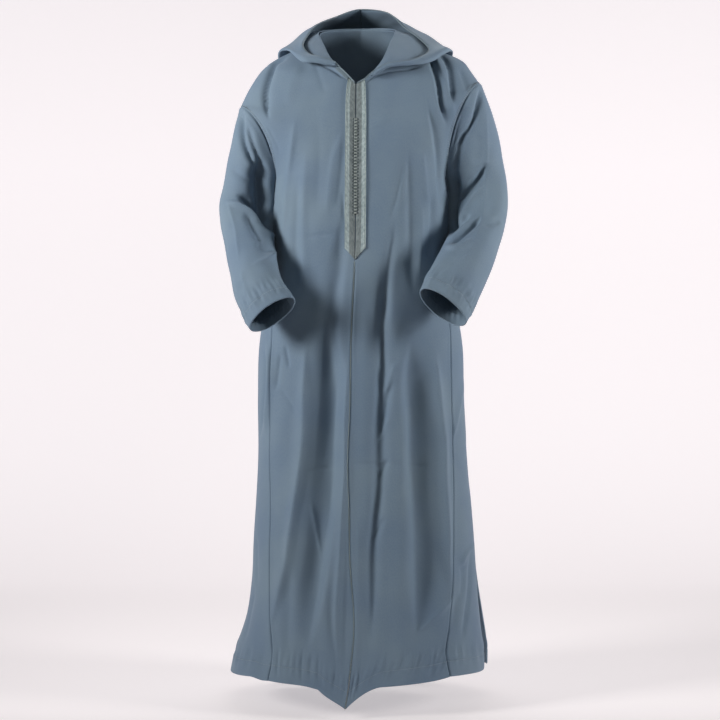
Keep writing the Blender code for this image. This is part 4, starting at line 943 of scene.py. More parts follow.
def cord_braid(side):
    """Woven cord braid of rayon thread: fine cords side by side, pale at both edges. The two halves
    are woven as mirror images, and the wearer's left one has the brighter lay."""
    # Painted light: each half's colour is scaled, the wearer's left one up and the right one a little down.
    painted_brightness = {"right": 0.97, "left": 1.14}[side]
    mat = material_named("rayon cord braid, %s lay" % side)
    look = settle("djellaba_trim")
    shader = mat.node_tree.nodes["Principled BSDF"]
    place = add(mat, "ShaderNodeTexCoord")
    split = add(mat, "ShaderNodeSeparateXYZ", {"Vector": place.outputs["UV"]})
    # Cords of 2.8 mm; the middle is mottled with turns 1.5 mm apart, drawn out along the braid.
    across = add(mat, "ShaderNodeMath", {0: split.outputs["X"], 1: 2 * math.pi / 0.0028},
                 operation="MULTIPLY")
    cords = add(mat, "ShaderNodeMath", {0: across.outputs[0]}, operation="COSINE")
    drawn = add(mat, "ShaderNodeMapping", {"Vector": place.outputs["UV"], "Scale": (1.0, 0.22, 1.0)})
    turns = add(mat, "ShaderNodeTexNoise", {"Vector": drawn.outputs[0], "Scale": 650.0, "Detail": 3.0})
    slub = add(mat, "ShaderNodeTexNoise", {"Vector": place.outputs["UV"], "Scale": 110.0, "Detail": 2.0})
    mixed = add(mat, "ShaderNodeMath", {0: turns.outputs["Fac"], 1: slub.outputs["Fac"]}, operation="ADD")
    shade = add(mat, "ShaderNodeMath", {0: cords.outputs[0], 1: 0.16, 2: mixed.outputs[0]},
                operation="MULTIPLY_ADD")
    spread = add(mat, "ShaderNodeMapRange", {"Value": shade.outputs[0], "From Min": 0.72, "From Max": 1.28})
    dark, light = ([painted_brightness * c for c in linear(code)] for code in (look.dark, look.light))
    colour = add(mat, "ShaderNodeMix", {"Factor": spread.outputs[0], "A": dark, "B": light}, data_type="RGBA")
    # A paler cord runs along the outer edge. The groove beside it is darkened as painted shade, and the ramp
    # is darker at both its ends.
    share = add(mat, "ShaderNodeMath", {0: split.outputs["X"], 1: BAND_WIDE}, operation="DIVIDE")
    border = add(mat, "ShaderNodeValToRGB", {"Fac": share.outputs[0]})
    ramp = border.color_ramp.elements
    for stop_at, tone in ((0.06, 0.90), (0.76, 0.90), (0.81, 0.58), (0.86, 0.98), (0.95, 1.0)):
        stop = ramp.new(stop_at)
        stop.color = (tone * 0.96, tone, tone * 0.97, 1.0)
    ramp[0].color = (0.45, 0.46, 0.45, 1.0)
    ramp[-1].color = (0.62, 0.65, 0.62, 1.0)
    braid_with_painted_shade = add(mat, "ShaderNodeMix", {"Factor": 1.0, "A": colour.outputs["Result"],
                                        "B": border.outputs["Color"]},
                 data_type="RGBA", blend_type="MULTIPLY")
    mat.node_tree.links.new(braid_with_painted_shade.outputs["Result"], shader.inputs["Base Color"])
    bump = add(mat, "ShaderNodeBump", {"Height": turns.outputs["Fac"], "Distance": 0.0004, "Strength": 0.6})
    mat.node_tree.links.new(bump.outputs[0], shader.inputs["Normal"])
    shader.inputs["Roughness"].default_value = 0.6
    shader.inputs["Specular IOR Level"].default_value = 0.4
    shader.inputs["Sheen Weight"].default_value = 0.15
    return mat


def thread(name, code):
    """Spun thread: a little glossier than cloth, uneven along its length."""
    if name in bpy.data.materials:
        return bpy.data.materials[name]
    mat = material_named(name)
    shader = mat.node_tree.nodes["Principled BSDF"]
    place = add(mat, "ShaderNodeTexCoord")
    uneven = add(mat, "ShaderNodeTexNoise", {"Vector": place.outputs["Object"], "Scale": 900.0,
                                             "Detail": 2.0})
    dark = [c * 0.72 for c in linear(code)[:3]] + [1.0]
    colour = add(mat, "ShaderNodeMix", {"Factor": uneven.outputs["Fac"], "A": dark, "B": linear(code)},
                 data_type="RGBA")
    mat.node_tree.links.new(colour.outputs["Result"], shader.inputs["Base Color"])
    bump = add(mat, "ShaderNodeBump", {"Height": uneven.outputs["Fac"], "Distance": 0.0002, "Strength": 0.6})
    mat.node_tree.links.new(bump.outputs[0], shader.inputs["Normal"])
    shader.inputs["Roughness"].default_value = 0.5
    return mat


# ------------------------------------------------------------------ the panels
FOOT_OUTER, FOOT_INNER = 0.3645, 0.3835      # rows of the placket's foot, at its outer edge and its point
PANEL_ROWS = np.concatenate([np.linspace(0, V_SHOULDER, 44, endpoint=False),
                             np.linspace(V_SHOULDER, V_UNDERARM, 58, endpoint=False),
                             np.linspace(V_UNDERARM, 0.970, 262, endpoint=False),
                             np.linspace(0.970, 1.0, 34)])
SIDE_ROW = 102                       # first row below the underarm
NEAR_SEAM = np.array([0.0, 0.0008, 0.002, 0.0035, 0.0055, 0.008])
NEAR_FRONT = np.array([0.0, 0.0008, 0.002, 0.0035, 0.005, 0.0065, 0.008, 0.0095, 0.011, 0.0125, 0.014,
                       0.0155, 0.017, 0.0185, 0.020, 0.0215, 0.0225, 0.0235, 0.0250])
ACROSS_FRONT, ACROSS_BACK, ACROSS_GORE = 50, 52, 26
made = {}                            # outer faces of the pieces, for what is sewn on them


def seam_dip(away):
    """The cloth rolls in at a seam, and stands a little proud beside it."""
    return -0.0026 * np.exp(-(away / 0.0013)**2) + 0.0006 * np.exp(-((away - 0.005) / 0.003)**2)


def hem_rise(grid, depth):
    """Relief and extra thickness of a hem turned up inside and stitched along its top."""
    down = lengths(grid, 1)
    up = down[:, -1:] - down
    across = lengths(grid, 0)
    turned = soft_step((depth + 0.001 - up) / 0.002)
    drift = 2.2 * wander(3 * grid[..., 0], 0.4 * grid[..., 2])
    pucker = np.sin(2 * math.pi * across / 0.0125 + drift)
    long = np.sin(2 * math.pi * across / 0.041 + 1.3 * drift)
    line = np.exp(-((up - depth) / 0.0024)**2)
    edge = np.exp(-(up / 0.0018)**2)
    rise = 0.0003 * turned - line * (0.0002 + 0.0005 * pucker.clip(0, 1)) - 0.0005 * edge
    rise += turned * (0.0005 * pucker + 0.0012 * long) * (up / depth).clip(0, 1)
    rise += (0.0010 * pucker + 0.0014 * long) * np.exp(-((up - depth - 0.014) / 0.017)**2)
    return rise, WALL * turned


def lift_hem(grid, rows):
    """The hem at the front climbs towards both side seams."""
    x = grid[..., 0]
    low = ((rows - 0.90) / 0.10).clip(0, 1)**1.5
    grid[..., 2] += low * (0.0078 * soft_step((-x - 0.205) / 0.035) + 0.0105 * soft_step((x - 0.150) / 0.115))
    grid[..., 2] -= low * 0.0065 * np.exp(-((x + 0.080) / 0.028)**2)


def finish_cloth(name, mid, rise, extra, mat, closed=False):
    """Makes a panel's shell with its relief, and keeps its outer face for what is sewn on it."""
    out = normals(mid, closed)
    outer = mid + out * (rise + WALL / 2)[..., None]
    out2 = normals(outer, closed)
    made[name] = (outer, out2)
    return cloth_shell(name, outer, WALL + extra, mat, closed, out)


def calm(grid, first, last, times):
    """Evens out the cloth between two rows, without moving the edges of the piece."""
    for _ in range(times):
        part = grid[:, first - 1:last + 1]
        mean = (part[:-2, 1:-1] + part[2:, 1:-1] + part[1:-1, :-2] + part[1:-1, 2:]) / 4
        grid[1:-1, first:last] = 0.4 * grid[1:-1, first:last] + 0.6 * mean


def front_mid(side):
    """One front as a grid of points, finer beside its two seams."""
    u = np.linspace(0, 1, 241)[:, None]
    dense = panel(side, "front", u, PANEL_ROWS[None, :])
    total = lengths(dense, 0)[-1]
    grid = np.empty((len(NEAR_FRONT) + ACROSS_FRONT + len(NEAR_SEAM), len(PANEL_ROWS), 3))
    for j, full in enumerate(total):
        last = full - NEAR_SEAM[::-1]
        between = np.linspace(NEAR_FRONT[-1], last[0], ACROSS_FRONT + 2)[1:-1]
        grid[:, j] = by_distance(dense[:, j], np.concatenate([NEAR_FRONT, between, last]))
    calm(grid[len(NEAR_FRONT):], 24, 80, 42)
    lift_hem(grid, PANEL_ROWS)
    return grid


def front_rise(grid):
    """Relief of a front, distances from both its edges, and where the centre seam is sewn."""
    x, z = grid[..., 0], grid[..., 2]
    run = lengths(grid, 0)
    edge = run[-1:] - run
    low = ((z + 0.30) / -0.10).clip(0, 1)
    free = np.maximum(low, soft_step(edge / 0.035))
    rise = (fold_rise(x, z, FRONT_FOLDS) + 0.0011 * wander(1.6 * x, 1.1 * z)) * free
    # The stitched seam allowance puckers along the armhole.
    arm = soft_step((PANEL_ROWS - 0.095) / 0.015) * soft_step((V_UNDERARM - PANEL_ROWS) / 0.01)
    down = lengths(grid, 1)[-1]
    gather = np.sin(2 * math.pi * down / 0.0095 + 2.5 * wander(4 * x[-1], 6 * z[-1]))
    rise += arm * (0.0005 * gather * np.exp(-((edge - 0.0065) / 0.0055)**2)
                   - 0.0006 * np.exp(-((edge - 0.0100) / 0.0016)**2))
    below = soft_step((PANEL_ROWS[None, :] - 0.375) / 0.02)
    return rise, run, edge, below


def gore_mid(side):
    """One gore as a grid of points, squeezed at its narrow top."""
    rows = PANEL_ROWS[SIDE_ROW:]
    u = np.linspace(0, 1, 121)[:, None]
    dense = gore(side, u, rows[None, :])
    total = lengths(dense, 0)[-1]
    near = NEAR_SEAM[:-1]
    grid = np.empty((ACROSS_GORE + 2 * len(near), len(rows), 3))
    for j, full in enumerate(total):
        squeeze = min(1.0, full / 0.05)
        first, last = near * squeeze, full - near[::-1] * squeeze
        between = np.linspace(first[-1], last[0], ACROSS_GORE + 2)[1:-1]
        grid[:, j] = by_distance(dense[:, j], np.concatenate([first, between, last]))
    lift_hem(grid, rows)
    return grid


def make_fronts():
    mat = wool_twill()
    mids = {side: front_mid(side) for side in ("right", "left")}
    rises = {}
    for side, grid in mids.items():
        rise, run, edge, below = front_rise(grid)
        more, extra = hem_rise(grid, settle("djellaba_cloth").hem)
        flat = 1 - 0.6 * soft_step((V_UNDERARM - PANEL_ROWS) / 0.03)
        rises[side] = (rise + flat * seam_dip(edge) + 0.6 * seam_dip(run) * below + more, extra)
    middle = (rises["right"][0][0] + rises["left"][0][0]) / 2
    for side, grid in mids.items():
        rise, extra = rises[side]
        fade = np.exp(-lengths(grid, 0) / 0.02)
        rise = rise + (middle - rise[0]) * fade
        piece = finish_cloth("robe_front_" + side, grid, rise, extra, mat)
        enter(piece, "robe_cloth", "front_" + side)
        made["front_mid_" + side] = grid + normals(grid) * rise[..., None]


def make_gores():
    mat = wool_twill()
    for side in ("right", "left"):
        grid = gore_mid(side)
        run = lengths(grid, 0)
        edge = run[-1:] - run
        share = run / run[-1:].clip(1e-6)
        x, z = grid[..., 0], grid[..., 2]
        rise = fold_rise(x, z, FRONT_FOLDS + GORE_FOLDS) + 0.0011 * wander(1.6 * x, 1.1 * z)
        rise = rise * (1 - share**2)
        more, extra = hem_rise(grid, settle("djellaba_cloth").hem)
        rise += seam_dip(run) + seam_dip(edge) + more
        moved = grid + normals(grid) * rise[..., None]
        seam_line = made["front_mid_" + side][-1, SIDE_ROW:]
        moved += (seam_line - moved[0]) * ((1 - share)**2)[..., None]
        # Below the seam its edge is drawn in, so the back shows behind it.
        free = soft_step((PANEL_ROWS[SIDE_ROW:] - 0.74) / 0.16)[None, :] * share**3
        moved[..., 0] -= sign(side) * 0.005 * free
        piece = finish_cloth("robe_gore_" + side, moved, 0 * rise, extra, mat)
        enter(piece, "robe_cloth", "gore_" + side)


def make_back():
    mat = wool_twill()
    halves = []
    for side in ("right", "left"):
        u = np.linspace(0, 1, 241)[:, None]
        dense = panel(side, "back", u, PANEL_ROWS[None, :])
        total = lengths(dense, 0)[-1]
        half = np.empty((ACROSS_BACK + 1 + len(NEAR_SEAM), len(PANEL_ROWS), 3))
        for j, full in enumerate(total):
            last = full - NEAR_SEAM[::-1]
            between = np.linspace(0, last[0], ACROSS_BACK + 2)[:-1]
            half[:, j] = by_distance(dense[:, j], np.concatenate([between, last]))
        halves.append(half)
    grid = np.concatenate([halves[0][::-1], halves[1][1:]])
    calm(grid, 24, 80, 42)
    run = lengths(grid, 0)
    edge = np.minimum(run, run[-1:] - run)
    # Its edges stand a little wider than the gores where the sides are open.
    flare = soft_step((PANEL_ROWS - 0.82) / 0.18) * np.exp(-edge / 0.07)
    grid[..., 0] += flare * np.where(grid[..., 0] > 0, 0.017, -0.006)
    x, z = grid[..., 0], grid[..., 2]
    rise = (1.6 * fold_rise(x, z, BACK_FOLDS) + 0.0012 * wander(1.5 * x, z)) * soft_step(edge / 0.035)
    more, extra = hem_rise(grid, settle("djellaba_cloth").hem)
    piece = finish_cloth("robe_back", grid, rise + seam_dip(edge) + more, extra, mat)
    enter(piece, "robe_cloth", "back")


def make_sleeves():
    mat = wool_twill()
    turn = (np.arange(112) * 360 / 112)[:, None]
    t = np.concatenate([np.linspace(0, 0.03, 12, endpoint=False),
                        np.linspace(0.03, 0.93, 130, endpoint=False), np.linspace(0.93, 1.0, 34)])[None, :]
    for side in ("right", "left"):
        grid = sleeve(side, t, turn)
        # Under the arm its front leans on the body.
        lean = np.exp(-((turn - 150) / 30)**2) * soft_step(t / 0.02) * soft_step((0.60 - t) / 0.28)
        grid[..., 0] -= sign(side) * 0.0145 * lean
        out = normals(grid, True)
        x, z = grid[..., 0], grid[..., 2]
        front = soft_step((0.2 - out[..., 1]) / 0.5)
        rise = front * fold_rise(x, z, SLEEVE_FRONT_FOLDS) + (1 - front) * fold_rise(x, z, SLEEVE_BACK_FOLDS)
        rise += 0.0010 * wander(2.1 * x, 1.7 * z)
        rise *= soft_step(t / 0.045)
        # Its seam allowance lies inside the armhole.
        inward = grid[:, 0].mean(0) - grid[:, 6].mean(0)
        inward *= 0.004 / np.linalg.norm(inward)
        grid[:, 0] += inward + 0.03 * (grid[:, 0].mean(0) - grid[:, 0])
        grid[:, 1] += 0.3 * inward + 0.015 * (grid[:, 1].mean(0) - grid[:, 1])
        long = lengths(grid, 1)
        more, extra = hem_rise(grid, settle("djellaba_cloth").cuff)
        rise = rise + 0.5 * seam_dip(long - 0.004) + more
        piece = finish_cloth("robe_sleeve_" + side, grid, rise, extra, mat, True)
        enter(piece, "robe_cloth", "sleeve_" + side)


def make_hood():
    mat = wool_twill()
    a = np.concatenate([np.linspace(0, 0.97, 104, endpoint=False), np.linspace(0.97, 1.0, 8)])[:, None]
    t = np.linspace(0, 1, 96)[None, :]
    for side in ("right", "left"):
        grid = hood(side, a, t)
        run = lengths(grid, 0)
        down = lengths(grid, 1)
        rim = down[:, -1:] - down
        centre = run[-1:] - run
        x, y, z = (grid[..., k] for k in range(3))
        rise = 0.0012 * wander(2.2 * x + y, 2.0 * z - y)
        rise *= soft_step(centre / 0.02) * soft_step(rim / 0.02) * soft_step(a / 0.2) * soft_step(down / 0.03)
        rise += 0.5 * seam_dip(centre) - 0.0005 * np.exp(-((rim - 0.006) / 0.0016)**2)
        grid[-1, :, 0] = -sign(side) * 0.0003
        piece = finish_cloth("robe_hood_" + side, grid, rise - WALL / 2, 0 * rise, mat)
        enter(piece, "robe_cloth", "hood_" + side)


# ------------------------------------------------------------------ braid, piping and knots
def on_front(side, s, v, lift):
    """Points on a front at distances s from its centre edge and rows v, lifted off the cloth."""
    outer, out = made["robe_front_" + side]
    n = len(NEAR_FRONT)
    points = np.empty(np.broadcast(s, v).shape + (3,))
    facing = np.empty_like(points)
    s, v = np.broadcast_arrays(s, v)
    for i in range(s.shape[0]):
        at = np.interp(s[i, 0], NEAR_FRONT, np.arange(n))
        low = min(int(at), n - 2)
        part = at - low
        line = outer[low] * (1 - part) + outer[low + 1] * part
        face = out[low] * (1 - part) + out[low + 1] * part
        for k in range(3):
            points[i, :, k] = np.interp(v[i], PANEL_ROWS, line[:, k])
            facing[i, :, k] = np.interp(v[i], PANEL_ROWS, face[:, k])
    facing /= np.linalg.norm(facing, axis=-1, keepdims=True)
    return points + facing * lift, facing


def make_placket():
    """The two braids down the neck slit: fine cords with a double raised border."""
    s = np.linspace(0, BAND_WIDE, 45)[:, None]
    w = np.linspace(0, 1, 210)[None, :]
    foot = FOOT_OUTER + (FOOT_INNER - FOOT_OUTER) * (1 - 0.95 * s / BAND_WIDE)
    for side in ("right", "left"):
        points, out = on_front(side, s, w * foot, 0.0004)
        cords = np.abs(np.cos(math.pi * s / 0.0014)) * soft_step((BAND_WIDE - 0.0056 - s) / 0.001)
        in_from_edge = BAND_WIDE - s
        border = (np.exp(-((in_from_edge - 0.0013) / 0.0011)**4)
                  + np.exp(-((in_from_edge - 0.0041) / 0.0011)**4))
        relief = BAND_THICK + 0.0003 * cords + 0.0009 * border
        relief = relief - 0.0009 * np.exp(-(s / 0.0007)**2) - 0.0009 * np.exp(-((BAND_WIDE - s) / 0.0005)**2)
        part = SLIT * soft_step((1 - w) / 0.06) + 0.0002
        grid = points + out * (relief * np.ones_like(w))[..., None]
        grid[..., 0] += sign(side) * part * (1 - s / BAND_WIDE)
        piece = cloth_shell("robe_placket_" + side, grid, BAND_THICK, cord_braid(side), out=out)
        enter(piece, "braid", "placket_" + side)
        made["placket_" + side] = (grid, out)


def neck_line(side, reach, lift):
    """The V of the neck on the outer face of a front, from the point out to a distance."""
    outer, out = made["robe_front_" + side]
    edge, face = outer[:, 0], out[:, 0]
    run = lengths(edge, 0)
    at = np.linspace(reach[0], reach[1], 60)
    points = np.stack([np.interp(at, run, edge[:, k]) for k in range(3)], axis=-1)
    facing = np.stack([np.interp(at, run, face[:, k]) for k in range(3)], axis=-1)
    return points + facing * lift, facing


def make_piping():
    """Piping along the V and round the hood's rim, and the braid on the right of the V."""
    mat = thread("rayon piping cord", settle("djellaba_trim").piping)
    for side in ("right", "left"):
        first, _ = neck_line(side, (0.004, HOOD_START[side] - 0.012), BAND_THICK + PIPING_R + 0.0004)
        cols = np.linspace(0, 1, 220)
        rim = hood(side, cols, np.ones(len(cols)))
        along = np.gradient(rim, axis=0)
        along /= np.linalg.norm(along, axis=1, keepdims=True)
        out = rim - hood(side, cols, np.full(len(cols), 0.97))
        out -= along * (out * along).sum(1, keepdims=True)
        out /= np.linalg.norm(out, axis=1, keepdims=True)
        rim = rim + out * (PIPING_R * 0.8)
        rim[-1, 0] = 0.0
        join = glide([0, 1, 2, 3], [first[-6], first[-1], rim[3], rim[8]], np.linspace(1, 2, 12))[1:-1]
        path = np.vstack([first, join, rim[3:]])
        run = lengths(path, 0)
        path = by_distance(path, np.arange(0, run[-1], 0.0011))
        piece = tube("robe_piping_" + side, path, PIPING_R, mat, 10, twist=0.0075)
        enter(piece, "braid", "edging_" + side)
    line, _ = neck_line("right", (BAND_WIDE + 0.001, HOOD_START["right"] - 0.001), 0.0)
    outer, out = made["robe_front_right"]
    below = outer[:, 14]
    near = np.array([below[np.argmin(np.linalg.norm(below - p, axis=1))] for p in line])
    across = near - line
    across /= np.linalg.norm(across, axis=1, keepdims=True)
    wide = np.linspace(0, 0.009, 15)
    grid = line[None] + across[None] * wide[:, None, None]
    face = normals(grid)
    face *= np.sign(-face[..., 1:2].mean())
    relief = 0.0016 + BAND_THICK + 0.0004 * np.abs(np.cos(math.pi * wide / 0.0022))[:, None]
    grid = grid + face * (relief + 0 * grid[..., 0])[..., None]
    piece = cloth_shell("robe_neck_braid", grid, BAND_THICK, mat, out=face)
    enter(piece, "braid", "neck_braid_right")


def make_knots():
    """The chain of knotted buttons, with one loop round each."""
    look = settle("djellaba_trim")
    edges = [made["placket_" + side][0][0] for side in ("right", "left")]
    slit = (edges[0] + edges[1]) / 2
    z = np.linspace(-0.176, -0.379, look.knots)
    line = np.stack([np.interp(-z, -slit[:, 2], slit[:, k]) for k in range(3)], axis=-1)
    step = lengths(line, 0)[-1] / (look.knots - 1)
    beads = bpy.data.meshes.new("knot")
    bm = bmesh.new()
    bmesh.ops.create_icosphere(bm, subdivisions=3, radius=0.0026)
    for vert in bm.verts:
        x, y, h = vert.co / 0.0026
        round_ = math.atan2(y, x)
        wave = abs(math.sin(2.5 * round_ + 3.2 * h)) + abs(math.sin(2.5 * round_ - 3.2 * h))
        vert.co *= 0.86 + 0.11 * wave
        vert.co.x, vert.co.z = 1.15 * vert.co.x, 0.85 * vert.co.z
        vert.co.y += 0.0016
    bm.to_mesh(beads)
    bm.free()
    spun = thread("knot thread", look.knot)
    knots = repeat_along("robe_knots", [line], step * 0.9999, link("knot stamp", beads, spun), spun)
    enter(knots, "knot_thread", *["knot_%02d" % n for n in range(1, 32)])
    loops = bpy.data.meshes.new("loop")
    bm = bmesh.new()
    ring, minor, r = 16, 6, 0.0010
    for i in range(ring):
        a = 2 * math.pi * i / ring
        c = (0.0060 * math.cos(a), 0.0006 * math.cos(2 * a), 0.0031 * math.sin(a))
        for k in range(minor):
            b = 2 * math.pi * k / minor
            bm.verts.new((c[0] + r * math.cos(b) * math.cos(a), c[1] + r * math.sin(b),
                          c[2] + r * math.cos(b) * math.sin(a)))
    bm.verts.ensure_lookup_table()
    for i in range(ring):
        for k in range(minor):
            p = [(i, k), ((i + 1) % ring, k), ((i + 1) % ring, (k + 1) % minor), (i, (k + 1) % minor)]
            bm.faces.new([bm.verts[a * minor + b] for a, b in p])
    bmesh.ops.recalc_face_normals(bm, faces=bm.faces)
    bm.to_mesh(loops)
    bm.free()
    # The loops' dark thread is partly their own colour and partly painted shade on both sides of each knot.
    dark = thread("dark loop thread", look.loop)
    piece = repeat_along("robe_loops", [line], step * 0.9999, link("loop stamp", loops, dark), dark)
    enter(piece, "knot_thread")


def pick(name, away, rows, lift=0.0002, from_end=True):
    """A line on a panel at a distance from its edge, along some of its rows."""
    outer, out = made[name]
    run = lengths(outer, 0)
    line = []
    for j in rows:
        at = run[-1, j] - away if from_end else away
        line.append([np.interp(at, run[:, j], (outer + out * lift)[:, j, k]) for k in range(3)])
    return np.array(line)


def pick_row(name, up, lift=0.0002):
    """A line across a panel at a height above its hem."""
    outer, out = made[name]
    down = lengths(outer, 1)
    lifted = outer + out * lift
    return np.array([[np.interp(down[i, -1] - up, down[i], lifted[i, :, k]) for k in range(3)]
                     for i in range(outer.shape[0])])


def make_stitches():
    """Lines of stitches at the armholes, hem, cuffs, centre seam and placket."""
    look = settle("djellaba_cloth")
    thick = 0.0007
    arm = np.arange(46, SIDE_ROW)
    lines = []
    for away in (0.0045, 0.0085):
        for name in ("robe_front_right", "robe_front_left"):
            lines.append(pick(name, away, arm))
        lines.append(pick("robe_back", away, arm))
        lines.append(pick("robe_back", away, arm, from_end=False))
    seam_stitch = thread("slate sewing thread", look.stitch)
    pieces = [repeat_along("robe_armhole_stitches", lines, 0.0052, stitch_stamp(0.0036, thick), seam_stitch)]
    lines = [pick_row(name, look.hem) for name in ("robe_front_right", "robe_front_left", "robe_gore_right",
                                                   "robe_gore_left", "robe_back")]
    pieces.append(repeat_along("robe_hem_stitches", lines, 0.0048, stitch_stamp(0.0032, thick), seam_stitch))
    lines = []
    for name in ("robe_sleeve_right", "robe_sleeve_left"):
        row = pick_row(name, look.cuff)
        lines.append(np.vstack([row, row[:1]]))
    pieces.append(repeat_along("robe_cuff_stitches", lines, 0.0048, stitch_stamp(0.0032, thick), seam_stitch))
    pale = thread("pale braid thread", settle("djellaba_trim").edge)
    rows = np.nonzero(PANEL_ROWS > FOOT_INNER + 0.002)[0]
    seam_line = (made["robe_front_right"][0][0, rows] + made["robe_front_left"][0][0, rows]) / 2
    seam_line += (-0.0013, -0.0022, 0.0)
    pieces.append(repeat_along("robe_centre_stitches", [seam_line], 0.0042, stitch_stamp(0.0036, 0.0011),
                               pale))
    lines = []
    for side in ("right", "left"):
        grid, out = made["placket_" + side]
        lines.append(grid[42] + out[42] * 0.0002)
    pieces.append(repeat_along("robe_placket_stitches", lines, 0.0040, stitch_stamp(0.0030, 0.0008), pale))
    for piece in pieces:
        enter(piece, "braid" if "placket" in piece.name or "centre" in piece.name else "robe_cloth")


# ------------------------------------------------------------------ stage
def make_stage():
    """A curved paper sweep, soft lights at both sides, and the camera."""
    look = settle("djellaba_stage")
    scene = bpy.context.scene
    paper = material_named("matt studio paper")
    shader = paper.node_tree.nodes["Principled BSDF"]
    place = add(paper, "ShaderNodeTexCoord")
    depth = add(paper, "ShaderNodeSeparateXYZ", {"Vector": place.outputs["Object"]})
    # The paper glows as painted light: the glow fades towards the front, and grows again up towards the far
    # wall.
    near = add(paper, "ShaderNodeMapRange", {"Value": depth.outputs["Y"], "From Min": -1.2, "From Max": 0.0,
                                             "To Min": 0.02, "To Max": 0.65 * look.glow},
               interpolation_type="SMOOTHSTEP")
    far = add(paper, "ShaderNodeMapRange", {"Value": depth.outputs["Y"], "From Min": 1.2, "From Max": 3.4,
                                            "To Min": 0.0, "To Max": 0.35 * look.glow},
              interpolation_type="SMOOTHSTEP")
    both = add(paper, "ShaderNodeMath", {0: near.outputs["Result"], 1: far.outputs["Result"]},
               operation="ADD")
    paper.node_tree.links.new(both.outputs[0], shader.inputs["Emission Strength"])
    shader.inputs["Base Color"].default_value = linear("c4c0c0")
    shader.inputs["Emission Color"].default_value = linear("fdf7fa")
    shader.inputs["Roughness"].default_value = 0.9
    shader.inputs["Specular IOR Level"].default_value = 0.1
    floor_z = CAD_BOX[0][2] - 0.022
    back, bend, wide = 3.4, 1.6, 7.0
    profile = [(-5.0, floor_z), (back - bend, floor_z)]
    profile += [(back - bend + bend * math.sin(a), floor_z + bend - bend * math.cos(a))
                for a in np.linspace(0.1, math.pi / 2, 14)]
    profile += [(back, floor_z + 6.0)]
    points = [(x, y, z) for x in (-wide, wide) for y, z in profile]
    n = len(profile)
    mesh = bpy.data.meshes.new("studio_sweep")
    mesh.from_pydata(points, [], [(i, n + i, n + i + 1, i + 1) for i in range(n - 1)])
    mesh.shade_smooth()
    link("studio_sweep", mesh, paper)
    for name, energy, size, spread, at in (("key light", look.key, 0.9, 76, (2.95, -0.95, 0.2)),
                                           ("fill light", look.fill, 0.9, 76, (-2.6, -1.38, 0.3)),
                                           ("front light", look.front, 1.8, 180, (0.2, -3.3, 0.4)),
                                           ("back light", look.behind, 2.4, 180, (0.0, 1.6, 2.2))):
        lamp = bpy.data.lights.new(name, "AREA")
        lamp.spread = math.radians(spread)
        lamp.energy, lamp.size, lamp.color = energy, size, (1.0, 0.975, 0.95)
        obj = bpy.data.objects.new(name, lamp)
        scene.collection.objects.link(obj)
        obj.location = at
        aim = np.array((0.0, 0.0, -0.15)) - np.array(at)
        obj.rotation_euler = (math.atan2(math.hypot(aim[0], aim[1]), -aim[2]), 0.0,
                              math.atan2(aim[1], aim[0]) - math.pi / 2)
    world = bpy.data.worlds.new("pale studio air")
    world.use_nodes = True
    world.node_tree.nodes["Background"].inputs[0].default_value = (0.93, 0.99, 1.0, 1.0)
    world.node_tree.nodes["Background"].inputs[1].default_value = look.air
    scene.world = world
    scene.view_settings.view_transform = "Standard"
    data = bpy.data.cameras.new("camera")
    data.lens, data.sensor_width = 78.1, 36.0
    camera = bpy.data.objects.new("camera", data)
    scene.collection.objects.link(camera)
    camera.location = (-0.00224, -3.5, -0.6944)
    camera.rotation_euler = (math.pi / 2, 0.0, 0.0)
    scene.camera = camera


# ------------------------------------------------------------------ add-on
class ClothSettings(bpy.types.PropertyGroup):
    light: StringProperty(name="Light tone", description="Lighter colour of the cloth, as sRGB hex",
                          default="6e8190")
    dark: StringProperty(name="Dark tone", description="Darker colour of the cloth, as sRGB hex",
                         default="61758a")
    stitch: StringProperty(name="Stitches", description="Colour of the seam thread, as sRGB hex",
                           default="98a6b0")
    hem: FloatProperty(name="Hem", description="Depth of the turned hem", default=0.034, min=0.01, max=0.08,
                       unit="LENGTH")
    cuff: FloatProperty(name="Cuff", description="Depth of the turned cuff", default=0.028, min=0.01,
                        max=0.05, unit="LENGTH")


class TrimSettings(bpy.types.PropertyGroup):
    light: StringProperty(name="Light tone", description="Lighter colour of the braid, as sRGB hex",
                          default="aebbc0")
    dark: StringProperty(name="Dark tone", description="Darker colour of the braid, as sRGB hex",
                         default="7a888e")
    piping: StringProperty(name="Piping", description="Colour of the piping cord, as sRGB hex",
                           default="6d7f8a")
    edge: StringProperty(name="Edge thread", description="Colour of the pale thread, as sRGB hex",
                         default="98a49c")
    knot: StringProperty(name="Knots", description="Colour of the knots, as sRGB hex", default="929d9b")
    # The loops' dark tone is partly their own colour and partly painted shade beside each knot.
    loop: StringProperty(name="Loops", description="Colour of the loops, as sRGB hex", default="26333a")
    knots: IntProperty(name="Knots", description="How many knots close the slit", default=31, min=3, max=60)


class StageSettings(bpy.types.PropertyGroup):
    key: FloatProperty(name="Key light", description="Power of the key light", default=16.1, unit="POWER")
    fill: FloatProperty(name="Fill light", description="Power of the fill light", default=19.9, unit="POWER")
    front: FloatProperty(name="Front light", description="Power of the weak light in front", default=8.0,
                         unit="POWER")
    behind: FloatProperty(name="Back light", description="Power of the light from behind", default=20.0,
                       unit="POWER")
    air: FloatProperty(name="Surroundings", description="Light from the white surroundings", default=0.05)
    glow: FloatProperty(name="Floor glow", description="Evens out the pale floor", default=0.77)


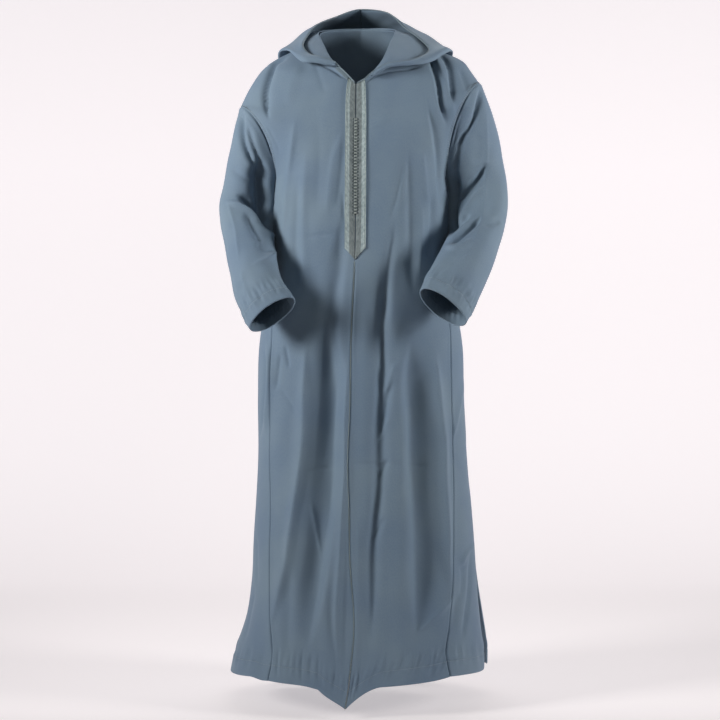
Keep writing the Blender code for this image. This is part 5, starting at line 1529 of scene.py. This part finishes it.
def step(label, idname, note, *works):
    """An operator that makes one group of pieces."""
    def execute(self, context):
        for work in works:
            work()
        return {"FINISHED"}
    return type("ROBE_OT_" + idname, (bpy.types.Operator,),
                {"bl_idname": "djellaba." + idname, "bl_label": label, "__doc__": note, "execute": execute})


STEPS = (
    step("Fronts", "fronts", "Make the two fronts", make_fronts),
    step("Gores", "gores", "Make the two side gores", make_gores),
    step("Back", "back", "Make the back panel", make_back),
    step("Sleeves", "sleeves", "Make the two sleeves", make_sleeves),
    step("Hood", "hood", "Make the two hood halves", make_hood),
    step("Placket", "placket", "Make the braid of the placket", make_placket),
    step("Piping", "piping", "Make the piping and the braid of the neck", make_piping),
    step("Knots", "knots", "Make the chain of knots and loops", make_knots),
    step("Stitches", "stitches", "Make the lines of stitches", make_stitches),
    step("Stage", "stage", "Make the floor, lights and camera", make_stage),
)


class ROBE_PT_panel(bpy.types.Panel):
    bl_label = "Hooded djellaba robe"
    bl_idname = "ROBE_PT_panel"
    bl_space_type = "VIEW_3D"
    bl_region_type = "UI"
    bl_category = "Robe"

    def draw(self, context):
        for name in ("djellaba_cloth", "djellaba_trim", "djellaba_stage"):
            box = self.layout.box()
            group = getattr(context.scene, name)
            for key in group.bl_rna.properties.keys():
                if key not in ("rna_type", "name"):
                    box.prop(group, key)
        for operator in STEPS:
            self.layout.operator(operator.bl_idname)


CLASSES = (ClothSettings, TrimSettings, StageSettings, *STEPS, ROBE_PT_panel)


def register():
    for one in CLASSES:
        bpy.utils.register_class(one)
    bpy.types.Scene.djellaba_cloth = PointerProperty(type=ClothSettings)
    bpy.types.Scene.djellaba_trim = PointerProperty(type=TrimSettings)
    bpy.types.Scene.djellaba_stage = PointerProperty(type=StageSettings)


def unregister():
    for name in ("djellaba_cloth", "djellaba_trim", "djellaba_stage"):
        delattr(bpy.types.Scene, name)
    for one in reversed(CLASSES):
        bpy.utils.unregister_class(one)


def main():
    register()
    for operator in STEPS:
        getattr(bpy.ops.djellaba, operator.bl_idname.split(".")[1])()


if __name__ == "__main__":
    main()
